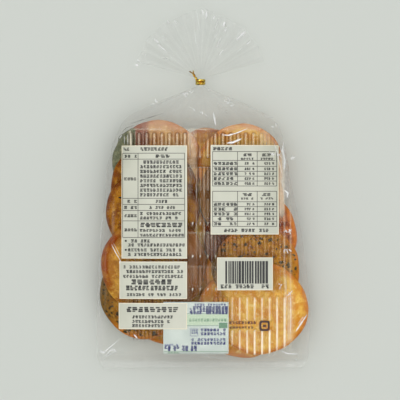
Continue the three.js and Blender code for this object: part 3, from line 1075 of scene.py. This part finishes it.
# Painted glints along creases of the film: points [x, y] from end to end, width, and how white they are.
CREASES = [
    ([(58.6, 34.4), (57.6, 27.8), (59.0, 20.6), (58.6, 13.4)], 2.4, 1.0),
    ([(51.0, 33), (53.8, 25), (55.6, 16), (57.0, 9.8)], 0.8, 0.75),
    ([(58.6, -1.1), (61.2, -3.2), (60.6, -6.6)], 1.9, 1.0),
    ([(6.9, 55.6), (8.0, 50), (9.0, 45)], 1.3, 0.8),
    ([(13.2, 38.8), (18, 38.4), (23.5, 39.9), (31.6, 43.2)], 1.1, 0.95),
    ([(16.6, 32.8), (21.3, 33.3), (27.6, 36.0)], 1.9, 0.95),
    ([(-76.3, -117.2), (-72.4, -119), (-66, -113.4), (-61.6, -109.8)], 0.9, 0.8),
    ([(-75.4, -118), (-71.2, -119.6)], 1.7, 0.9),
    ([(-73.6, -127), (-71.6, -122.4), (-67.4, -117), (-62.4, -117.8)], 1.0, 0.7),
    ([(-70.8, -122.6), (-66.8, -119.4), (-62.6, -117.6)], 0.7, 0.6),
    ([(-67.6, -115.4), (-62.8, -117.6)], 0.7, 0.6),
    ([(55.6, -117.2), (60.6, -119.5), (69, -120.2)], 1.1, 0.9),
    ([(66.6, -123.8), (68.6, -125.2)], 1.0, 0.8),
    ([(52.4, -128.6), (54.2, -129.4)], 0.9, 0.9),
    ([(61, -130.2), (66, -131.2)], 0.7, 0.6),
    ([(-5.4, -119.4), (4.7, -122.3), (15.5, -123.8), (26.4, -124.4)], 0.7, 0.5),
    ([(26, -125.3), (38, -124.6), (48, -121.6), (55.6, -117.2)], 0.6, 0.45),
    ([(-66.8, -40.1), (-63.6, -46.4), (-59.9, -52.4)], 0.8, 0.8),
    ([(-65.2, -39.4), (-62.0, -45.6), (-59.7, -50)], 0.5, 0.55),
    ([(-60.0, -51.4), (-60.9, -54.2)], 0.9, 0.9),
    ([(-61.2, 36.4), (-59.2, 38.8)], 1.1, 0.9),
    ([(-57.4, 38.4), (-57.2, 31.6)], 0.9, 0.4), ([(-54.9, 39.8), (-54.8, 31.6)], 0.9, 0.35),
    ([(-75.6, -52), (-76.0, -62), (-75.2, -74)], 0.9, 0.5),
    ([(-50.4, -105.4), (-47.6, -108.6)], 1.2, 0.8),
    ([(-76.6, -74), (-76.9, -84), (-75.6, -93)], 0.7, 0.45),
    ([(-60.3, 45.2), (-43, 50.9), (-25.6, 55.3)], 0.4, 0.28),
    ([(-61.6, 43.4), (-52, 45.0), (-36, 50.2)], 0.4, 0.22),
    ([(59.5, -62), (59.8, -78), (59.4, -92)], 0.7, 0.4),
    ([(62.9, -76), (63.2, -92), (62.8, -106)], 0.9, 0.5),
    ([(45.5, 52.6), (51.5, 52.2)], 0.5, 0.5),
    ([(-71.9, -13.4), (-74.4, -27), (-75.6, -40)], 0.6, 0.45),
    ([(-75.6, -68), (-76.8, -80), (-75.6, -94)], 0.7, 0.5),
    ([(75.3, -91.4), (71.2, -97.0), (66.8, -103.7)], 1.5, 0.85),
    ([(72.6, -92.4), (68.3, -98.4)], 0.7, 0.6),
    ([(61.6, -29.6), (63.6, -31.0)], 1.5, 0.9), ([(61.4, -43.8), (63.8, -45.6)], 1.2, 0.8),
    ([(60.4, -77.8), (62.4, -76.0), (64.6, -73.6)], 0.9, 0.9), ([(61.2, -74.4), (63.2, -77.4)], 0.7, 0.7),
]
# Patches of small zigzag crinkles painted as white glints: centre, half sizes, direction in degrees and
# count.
CRINKLE_PATCHES = [
    ((-11.4, 69.4), (4.4, 1.2), 12, 10),
    ((-36.6, 61.6), (3.4, 0.9), 50, 5), ((19.0, 63.2), (3.6, 1.7), -38, 14),
    ((-4.0, 56.5), (2.5, 7.0), 80, 5), ((57.6, 24), (1.2, 10), 84, 12), ((53.0, 45.0), (2.5, 1.8), 40, 4),
    ((60.2, -30.5), (1.1, 3.0), 70, 6),
    ((60.4, -45.6), (1.0, 2.2), 60, 4), ((55.4, -70.5), (2.4, 1.4), 30, 4),
]
# Glints on the fan: direction in degrees, inner and outer radius, width and strength.
FAN_GLINTS = [
    (91.6, 33, 50.5, 0.5, 0.55), (87.6, 46, 51, 0.6, 0.7),
    (84.6, 44, 50, 1.4, 0.9), (78.5, 45, 48, 1.0, 0.7),
    (74.5, 36, 46.5, 1.2, 0.35), (65.6, 41.5, 45.2, 1.5, 0.9),
    (63.5, 38.5, 42.5, 1.3, 0.9), (47.2, 38.2, 48.4, 1.8, 0.95),
    (62.6, 26, 33.5, 1.0, 0.7), (51.8, 22, 27.5, 0.8, 0.6),
    (37.2, 42.0, 46.8, 0.9, 0.7), (36.2, 33, 38.5, 0.5, 0.4),
    (120.2, 46.5, 49.2, 1.4, 0.85), (112.5, 43, 48.5, 0.8, 0.5), (131.5, 38.5, 42.5, 1.5, 0.35),
    (139.0, 40.5, 45, 1.6, 0.7), (141.0, 32, 40.8, 1.4, 0.4),
    (148.5, 26, 33, 0.8, 0.35), (155.8, 43.0, 47.2, 0.6, 0.5),
    (167.5, 46.5, 48.8, 1.2, 0.75), (164.8, 45.8, 48.6, 0.9, 0.9),
    (97.5, 24, 36, 1.0, 0.25), (70, 30, 40, 0.6, 0.3),
]


# A ridge from side to side: place across, rise as a share of its width, and share of its painted glint or
# shade.
RIDGE = [(-1, 0, 0.1), (-0.5, 0.12, 0.8), (0, 0.2, 1), (0.5, 0.12, 0.8), (1, 0, 0.1)]
RIDGE_STEP = 0.7  # between its points


def add_crease(pile, points, width, strength, stand_off=0.14):
    """A low ridge of film along a path, tapered at both ends, which carries a painted glint or a painted
    shade.
    """
    points = np.array(points, float)
    lengths = np.hypot(*np.diff(points, axis=0).T)
    along = np.concatenate([[0], np.cumsum(lengths)])
    steps = max(int(along[-1] / RIDGE_STEP), 5)
    at = np.linspace(0, along[-1], steps)
    x = np.interp(at, along, points[:, 0])
    y = np.interp(at, along, points[:, 1])
    slope_x = np.gradient(x)
    slope_y = np.gradient(y)
    size = np.hypot(slope_x, slope_y)
    taper = np.sin(math.pi * np.linspace(0.04, 0.96, steps)) ** 0.6
    half = width / 2 * taper * (1 + 0.35 * noise(at, at * 0, 1.7, int(abs(points[0, 0]) * 7)))
    side, rise, white = np.array(RIDGE).T[..., None]
    px = x - side * half * slope_y / size
    py = y + side * half * slope_x / size
    z = skin_height(px, py) + stand_off + rise * width * taper
    fade = white * np.clip(1.6 * taper, 0, 1)
    pile.add(as_points(px, py, z), grid_faces(*z.shape), strength=strength * fade)


# Folds with painted shade along their edges, where the film would bend the light away: points from end to
# end, width and strength.
DARK_FOLDS = [
    ([(-54.5, 46.4), (-42.3, 50.4), (-29.3, 54.6)], 0.5, 0.75),
    ([(-59.6, 40.4), (-56.0, 44.0), (-51, 45.6)], 0.5, 0.6),
    ([(-58.0, 38.0), (-49, 42.2), (-43, 44.4)], 0.6, 0.5), ([(-73.2, -20), (-75.0, -36)], 0.5, 0.3),
    ([(-76.2, -70), (-77.0, -82), (-75.8, -92)], 0.5, 0.3),
    ([(61.4, -30), (61.6, -46), (61.2, -60)], 2.0, 0.35),
]


def fold_shade_material():
    """Painted shade along the edge of a fold in clear film."""
    s = Shader("film_fold_shade")
    patchy = s.ranged(s.noise(3, 3), 0.3, 0.6, 0.55, 1.0)
    amount = s.math("MULTIPLY", s.attribute("strength"), patchy, True)
    tint = s.mix(amount, (1, 1, 1, 1), (0.16, 0.16, 0.10, 1))
    return s.finish(s.clear(tint))


def make_creases():
    pile = Pile()
    for points, width, strength in CREASES:
        add_crease(pile, points, width, strength)
    draw = random.Random(3)
    for (cx, cy), (long_way, short_way), degrees, count in CRINKLE_PATCHES:
        turn = math.radians(degrees)
        for _ in range(count):
            a = draw.uniform(-1, 1) * long_way
            b = draw.uniform(-1, 1) * short_way
            x = cx + a * math.cos(turn) - b * math.sin(turn)
            y = cy + a * math.sin(turn) + b * math.cos(turn)
            way = turn + draw.choice((-1, 1)) * draw.uniform(0.3, 1.1)
            reach = draw.uniform(0.8, 2.0)
            bend = draw.uniform(-0.5, 0.5)
            points = [
                (x - reach * math.cos(way), y - reach * math.sin(way)), (x + bend, y - bend),
                (x + reach * math.cos(way), y + reach * math.sin(way)),
            ]
            add_crease(pile, points, draw.uniform(0.4, 1.0), draw.uniform(0.5, 1.0))
    for degrees, inner, outer, width, strength in FAN_GLINTS:
        turn = math.radians(degrees)
        lean = math.radians(draw.uniform(-2, 2))
        ends = [(inner, turn), ((inner + outer) / 2, turn + lean / 2), (outer, turn + lean)]
        points = [(NECK["x"] + r * math.cos(t), FAN_CENTRE_Y + r * math.sin(t)) for r, t in ends]
        add_crease(pile, points, 1.2 * width, strength, stand_off=0.5)
    pile.piece("film_glints", glint_material(), "film")
    dark = Pile()
    for points, width, strength in DARK_FOLDS:
        add_crease(dark, points, width, strength)
    dark.piece("film_fold_shades", fold_shade_material(), "film")


# ---- print

FIELD_STAND_OFF = 0.07
INK_STAND_OFF = 0.12
FIELD_EDGE = 0.7  # width of a field's creamy border
# Print fields on the film: left, right, lower and upper edge.
FIELDS = {
    "contents": (-59.3, -11.9, -50.6, 31.1),
    "contact": (-60.8, -11.9, -79.8, -52.8),
    "notice": (-61.3, -11.9, -101.7, -82.7),
    "values": (5.2, 54.5, -33.2, 31.4),
    "code": (9.8, 50.1, -73.5, -49.8),
}
PATCH_STEP = 2.0  # between the points of a printed patch
RULE_WIDTH = 0.42
RULE_TONE = 0.6
CONTENTS_RULES = (5.6, 9.9, 38.2, 42.6, 47.0, 54.5, 66.5)
CONTENTS_UPRIGHTS = (0.8, 45.6, 12)
# Rows of marks from a field's upper left corner: start, end, how far down, height, width of a cell,
# tone and share of the cells that are filled.
ROWS = {
    "contents": [
        (1.4, 11, 2.6, 2.2, 4.6, 0.35, 0.7), (13.6, 34, 2.6, 2.4, 2.5, 0.3, 0.95), (24.6, 34, 7.7, 2.2, 3.6),
        *[(13.4, 41.6 if line in (0, 7) else 44.6, 12 + 3.38 * line, 2.3, 2.35, 0.4, 0.94)
          for line in range(8)],
        *[(1.8, 11.2, down, 2.1, 2.4, tone, 0.8) for down, tone in (
            (7.8, 0.5), (24.2, 0.45), (40.4, 0.45), (44.8, 0.4), (50.8, 0.4), (61.0, 0.45))],
        (24.6, 33, 40.4, 2.2, 2.2), (18, 39, 44.8, 2.1, 2.1, 0.45), (13.4, 44, 49.2, 2.1, 2.3),
        (13.4, 40, 52.4, 2.1, 2.3, 0.45, 0.8), (13.2, 44.6, 57.4, 3.2, 3.9, 0.1, 1),
        (13.2, 44, 61.4, 2.0, 2.3, 0.5), (13.2, 44.6, 64.8, 2.0, 2.3, 0.6),
        *[(4.6, end, down, 2.2, 2.3, 0.35, 0.95)
          for down, end in ((69.0, 20), (71.9, 45), (75.5, 43), (78.7, 43))],
    ],
    "contact": [
        *[(2.6, 46.8, down, 2.2, 2.3, 0.5, 0.95) for down in (3.9, 7.2, 10.7)],
        (8.4, 38.7, 14.7, 3.6, 4.3, 0.25, 1), (4.8, 42.3, 19.1, 3.4, 2.9, 0.25, 0.95),
        (3, 45, 23.9, 2.0, 2.2, 0.5, 0.9),
    ],
    "notice": [
        (5.6, 42.8, 4.7, 3.6, 4.2, 0.3, 1), (9.6, 38.5, 10.1, 2.1, 2.3, 0.45, 0.95),
        (9.6, 38, 13.4, 2.1, 2.3, 0.45, 0.95), (9.6, 37, 16.4, 2.1, 2.3, 0.45, 0.95),
    ],
}
BULLETS = (69.0, 75.5)
# The two tables of values: their upright lines, and how far down their level lines are.
VALUE_COLUMNS = (1.4, 19.4, 33.6, 47.8)
VALUE_TABLES = [(4.7, 11.1, 15.4, 19.0, 22.5, 26.0, 29.6), (33.4, 41.0, 44.5, 48.0, 51.5, 55.1, 58.8)]
CODE = {"from": 5.9, "to": 36.8, "down": 2.6, "depth": 16.3}
CODE_BARS = (0.95, 0.95, 1.4, 1.4, 1.85)
CODE_GAPS = (0.4, 0.4, 0.45, 0.85)


class Print:
    """Printed marks on a surface, placed to the right of and down from an upper left corner."""

    def __init__(self, pile, draw, left, high, surface=film_top, patch_off=INK_STAND_OFF):
        self.pile = pile
        self.draw = draw
        self.left = left
        self.high = high
        self.surface = surface
        self.patch_off = patch_off

    def patch(self, start, end, down, depth, tone, stand_off=None):
        """A thin sheet that follows the surface."""
        columns = max(int((end - start) / PATCH_STEP + 1e-9), 1) + 1
        rows = max(int(depth / PATCH_STEP + 1e-9), 1) + 1
        upper = self.high - down
        x, y = np.meshgrid(
            self.left + np.linspace(start, end, columns), np.linspace(upper - depth, upper, rows))
        points = as_points(x, y, self.surface(x, y) + (stand_off or self.patch_off))
        self.pile.add(points, grid_faces(rows, columns), tone=tone)

    def grid(self, downs, asides):
        """Level lines at these depths, and uprights from the first to the last of them."""
        for down in downs:
            self.patch(asides[0], max(asides), down - RULE_WIDTH / 2, RULE_WIDTH, RULE_TONE)
        for aside in asides:
            self.patch(
                aside - RULE_WIDTH / 2, aside + RULE_WIDTH / 2, downs[0], downs[-1] - downs[0], RULE_TONE)

    def row(self, start, end, down, height, pitch, tone=0.4, filled=0.86):
        """A row of plain marks where a line of small print would be: three short bars in each cell."""
        while start < end - 0.4 * pitch:
            if self.draw.uniform(0, 1) < filled:
                for level in (0.36, 0, -0.36):
                    width = pitch * self.draw.uniform(0.5, 0.92)
                    bar = start + self.draw.uniform(0, pitch * 0.94 - width)
                    tall = height * self.draw.uniform(0.24, 0.37)
                    shade = min(max(tone + self.draw.uniform(-0.35, 0.1), 0), 1)
                    middle = down + height * level
                    self.patch(bar, bar + width, middle - tall / 2, tall, shade, INK_STAND_OFF)
            start += pitch


def add_field(pile, left, right, low, high):
    """A white field whose border is its own strip of faces."""
    def lines(first, last, count):
        inner = np.linspace(first + FIELD_EDGE, last - FIELD_EDGE, count)
        return np.concatenate([[first, first + FIELD_EDGE / 2], inner, [last - FIELD_EDGE / 2, last]])

    x, y = np.meshgrid(lines(left, right, 30), lines(low, high, 44))
    inset = np.minimum(np.minimum(x - left, right - x), np.minimum(y - low, high - y))
    edge = smooth(FIELD_EDGE, 0.4 * FIELD_EDGE, inset)
    pile.add(as_points(x, y, film_top(x, y) + FIELD_STAND_OFF), grid_faces(*x.shape), edge=edge)


def print_values(sheet):
    first, *columns = VALUE_COLUMNS
    sheet.row(1.7, 15.6, 2.7, 2.3, 2.8, 0.3, 1)
    for table in VALUE_TABLES:
        sheet.grid(table, VALUE_COLUMNS)
        for left, right in zip(columns, columns[1:]):
            sheet.row(left + 3.4, right - 3, table[0] + 2.4, 2.0, 3.6)
            sheet.row(left + 2.2, right - 2.4, table[0] + 5.2, 1.5, 1.9, 0.55)
        for upper, lower in zip(table[1:], table[2:]):
            middle = (upper + lower) / 2
            sheet.row(first + 0.7, columns[0] - 0.6, middle, 2.1, 2.9, 0.35)
            for left, right in zip(columns, columns[1:]):
                sheet.row(left + 5, right - 4.4, middle, 1.8, 1.6, 0.5, 0.9)
                sheet.row(right - 3.6, right - 1.4, middle, 1.6, 1.9, 0.4, 1)
    sheet.row(9.6, 41.4, 61.6, 2.3, 2.5, 0.3, 0.95)


def print_code(sheet):
    """A generic field of upright bars, which encodes nothing, and plain marks below."""
    x = CODE["from"]
    while x < CODE["to"]:
        width = sheet.draw.choice(CODE_BARS)
        sheet.patch(x, x + width, CODE["down"], CODE["depth"], sheet.draw.uniform(0, 0.1))
        x += width + sheet.draw.choice(CODE_GAPS)
    sheet.row(2.4, 37, 20.9, 2.8, 2.7, 0.1, 0.95)


def make_print():
    fields = Pile()
    marks = Pile()
    draw = random.Random(11)
    for name, (left, right, low, high) in FIELDS.items():
        add_field(fields, left, right, low, high)
        sheet = Print(marks, draw, left, high)
        if name == "contents":
            sheet.grid(CONTENTS_RULES, CONTENTS_UPRIGHTS)
        for row in ROWS.get(name, []):
            sheet.row(*row)
        if name == "contents":
            for down in BULLETS:
                sheet.patch(2.4, 3.8, down - 0.7, 1.3, 0.05)
        elif name == "values":
            print_values(sheet)
        elif name == "code":
            print_code(sheet)
    fields.piece("print_fields", print_material(), "label_white")
    look = ink_material("print_ink", colour(10, 10, 9), colour(92, 92, 84))
    marks.piece("print_marks", look, "ink")


# ---- small brown marks on the film

BROWN_ROWS = [(18.4, 37.9, 96.9, 1.9), (18.6, 36, 100.4, 1.5)]  # start, end, down and height
RING_MARK = {"x": 44.1, "y": -99.2, "half": 3.8, "inner": 2.3, "power": 5}


def make_brown_marks():
    """Two rows of plain marks, and a plain ring with squarish sides and a bar in it."""
    pile = Pile()
    sheet = Print(pile, random.Random(12), 0, 0)
    for start, end, down, height in BROWN_ROWS:
        sheet.row(start, end, down, height, 2.2, 0.4, 0.95)
    middle_x, middle_y, half, inner, power = RING_MARK.values()
    turns = np.linspace(0, TURN, 65)
    unit = 1 / (np.abs(np.cos(turns)) ** power + np.abs(np.sin(turns)) ** power) ** (1 / power)
    reach = np.array([[inner], [half]]) * unit
    x = middle_x + reach * np.cos(turns)
    y = middle_y + reach * np.sin(turns)
    faces = grid_faces(2, len(turns))[:, ::-1]
    pile.add(as_points(x, y, film_top(x, y) + INK_STAND_OFF), faces, tone=0.0)
    sheet.patch(middle_x - 1.2, middle_x + 1.2, -middle_y - 0.9, 1.8, 0.2)
    look = ink_material("print_brown", colour(52, 14, 4), colour(140, 82, 36))
    pile.piece("brown_marks", look, "ink")


# ---- drying sachet

SACHET = {"left": -29.1, "right": 18.1, "low": -119.6, "high": -82.0}
SACHET_FULL = 1.5  # thickness in its middle
SACHET_EDGE = 0.3
SACHET_ROOM = 0.4  # to the film over it
SACHET_INK = 0.06  # its plain patches stand off by this, below the marks on them
ZIGZAG = 1.3  # pitch of its cut ends


def sachet_half_thick(x, y):
    inset_x = np.minimum(x - SACHET["left"], SACHET["right"] - x)
    inset_y = np.minimum(y - SACHET["low"], SACHET["high"] - y)
    full = smooth(1.5, 11, inset_x) * smooth(4.5, 13, inset_y)
    return (SACHET_EDGE + (SACHET_FULL - SACHET_EDGE) * full * (0.85 + 0.15 * noise(x, y, 7, 95))) / 2


def sachet_top(x, y):
    return film_top(x, y) - SACHET_ROOM - 0.12 * (1 + noise(x, y, 12, 96))


def make_sachet():
    columns, rows = 146, 60
    left, right, low, high = SACHET.values()
    x, y = np.meshgrid(np.linspace(left, right, columns), np.linspace(low, high, rows))
    saw = np.abs(((x - left) / ZIGZAG) % 1 - 0.5)
    y = y + (saw - 0.25) * (smooth(0.5, 0, y - low) + smooth(-0.5, 0, y - high))
    upper = sachet_top(x, y)
    pile = Pile()
    faces = grid_faces(rows, columns)
    pile.add(as_points(x, y, upper), faces)
    pile.add(as_points(x, y, upper - 2 * sachet_half_thick(x, y)), faces[:, ::-1])
    number = np.arange(rows * columns).reshape(rows, columns)
    edge = np.concatenate([number[0], number[1:, -1], number[-1, -2::-1], number[-2:0:-1, 0]])
    after = np.roll(edge, -1)
    walls = np.stack([after, edge, edge + number.size, after + number.size], axis=-1)
    pile.faces.extend(walls.tolist())
    pile.piece("sachet", paper_material(), "sachet")


SACHET_ROW_FILLED = 0.9
GREEN_BAND = {"from": 17.0, "split": 39.8, "down": 8.9}
BLUE_BOX = {"left": 19.4, "right": 25.1, "down": 19.2, "line": 0.35}
# Rows of marks on the sachet, as in the print fields.
GREEN_ROWS = [(18.6, 45.0, 13.0, 2.0, 2.1, 0.45), (3, 10.5, 36.8, 0.9, 2.2, 0.4)]
BLUE_ROWS = [
    *[(19.0 + 6.9 * i, 24.8 + 6.9 * i, down, 2.4, 2.4, 0.0) for i in range(4) for down in (4.2, 5.9, 7.6)],
    (22.5, 45.4, 1.9, 1.5, 1.9, 0.4), (27, 46, 20.2, 2.0, 2.3, 0.1), (27, 46, 23.0, 2.0, 2.3, 0.1),
    (20, 45, 27.3, 2.0, 2.3, 0.2), (20, 46, 29.8, 2.0, 2.3, 0.0),
    *[(0.8 + 6.3 * i, 6.4 + 6.3 * i, down, 2.3, 2.4, 0.0) for i in range(4) for down in (32.7, 34.3)],
    (0.8, 12, 31.0, 1.2, 1.7, 0.5),
]
BLUE_BOX_ROWS = [(20.4, 24.6, 20.6, 1.3, 1.5, 0.3), (20.4, 24.6, 22.4, 1.3, 1.5, 0.3)]


def make_sachet_print():
    left, right, _, high = SACHET.values()
    width = right - left
    draw = random.Random(13)
    green, blue = Pile(), Pile()
    on_green, on_blue = (Print(pile, draw, left, high, sachet_top, SACHET_INK) for pile in (green, blue))
    start, split, down = GREEN_BAND.values()
    on_green.patch(start, split, down, 7.7, 0.97)
    on_green.patch(split, width - 0.4, down, 5.6, 0.97)
    on_green.patch(start, width - 0.4, 8.2, 0.4, 0.25)
    on_green.patch(start, split, 16.9, 0.4, 0.25)
    on_green.patch(0.6, width - 0.6, 35.6, 0.35, 0.3)
    on_green.patch(40.2, 46.4, 14.9, 4.0, 0.1)
    for row in GREEN_ROWS:
        on_green.row(*row, SACHET_ROW_FILLED)
    look = ink_material("sachet_green", colour(74, 126, 94), colour(190, 208, 180))
    green.piece("sachet_green_print", look, "ink")
    on_blue.patch(0.5, 16.6, 0.5, 5.6, 1.0)
    for row in BLUE_ROWS:
        on_blue.row(*row, SACHET_ROW_FILLED)
    start, end, down, line = BLUE_BOX.values()
    for level in (down, down + 5.2):
        on_blue.patch(start, end, level, line, 0.35)
    for aside in (start, end - 0.3):
        on_blue.patch(aside, aside + line, down, 5.5, 0.35)
    for row in BLUE_BOX_ROWS:
        on_blue.row(*row, SACHET_ROW_FILLED)
    look = ink_material("sachet_blue", colour(14, 22, 98), colour(172, 186, 204))
    blue.piece("sachet_blue_print", look, "ink")


# ---- stage, light and camera

FLOOR_TONE = colour(205, 209, 202)
FLOOR_TONE_WARM = colour(208, 211, 205)
FLOOR_HALF = 2500.0
FLOOR_LINES = 41
FLOOR_Z = -0.15
VIEW_X, VIEW_Y = -2.53, -8.31
CAMERA_Z = 1800.0
SHOWN_PLANE_Z = 47.0
SHOWN_WIDTH = 288.96  # what the frame spans at the height of the print
CAMERA_REACH = 20  # metres
# Square lamps aimed at the middle of the bag: azimuth from +X towards +Y, elevation, distance and
# size in metres, and watts.
SOFTBOXES = {
    "softbox_left": (172, 80, 1.7, 1.5, 10.4),
    "softbox_right": (8, 80, 1.7, 1.5, 10.4),
    "softbox_head": (95, 52, 1.8, 0.8, 1.4),
    "softbox_foot": (275, 58, 1.9, 1.2, 2.6),
}
AMBIENT = (0.97, 1.0, 1.0, 1)
AMBIENT_STRENGTH = 0.36


def make_floor():
    steps = np.linspace(-FLOOR_HALF, FLOOR_HALF, FLOOR_LINES)
    x, y = np.meshgrid(steps, steps)
    mesh = bpy.data.meshes.new("floor")
    points = np.stack([x, y, 0 * x + FLOOR_Z], axis=-1).reshape(-1, 3) * MM
    mesh.from_pydata(points.tolist(), [], grid_faces(*x.shape).tolist())
    mesh.materials.append(floor_material())
    floor = bpy.data.objects.new("floor", mesh)
    bpy.context.scene.collection.objects.link(floor)


def add_softbox(name, azimuth, elevation, distance, size, watts):
    lamp = bpy.data.lights.new(name, "AREA")
    lamp.shape = "SQUARE"
    lamp.size = size
    lamp.energy = watts
    made = bpy.data.objects.new(name, lamp)
    rise = math.radians(elevation)
    across = distance * math.cos(rise)
    turn = math.radians(azimuth)
    made.location = (across * math.cos(turn), across * math.sin(turn), distance * math.sin(rise))
    made.rotation_euler = (0, math.radians(90 - elevation), turn)
    bpy.context.scene.collection.objects.link(made)


def make_lights():
    for name, placing in SOFTBOXES.items():
        add_softbox(name, *placing)
    world = bpy.data.worlds.new("studio")
    world.use_nodes = True
    background = world.node_tree.nodes["Background"]
    background.inputs["Color"].default_value = AMBIENT
    background.inputs["Strength"].default_value = AMBIENT_STRENGTH
    bpy.context.scene.world = world


def make_camera():
    data = bpy.data.cameras.new("camera")
    data.angle = 2 * math.atan(SHOWN_WIDTH / 2 / (CAMERA_Z - SHOWN_PLANE_Z))
    data.clip_end = CAMERA_REACH
    camera = bpy.data.objects.new("camera", data)
    camera.location = (VIEW_X * MM, VIEW_Y * MM, CAMERA_Z * MM)
    bpy.context.scene.collection.objects.link(camera)
    bpy.context.scene.camera = camera
    bpy.context.scene.view_settings.view_transform = "Standard"


# ---- the whole scene

make_camera()
make_lights()
make_floor()
make_crackers()
make_nori()
make_flakes()
make_seeds()
make_tray()
make_sachet()
make_sachet_print()
make_film()
make_creases()
make_print()
make_brown_marks()

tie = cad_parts["tie"]
tie.data.materials.clear()
tie.data.materials.append(foil_material())
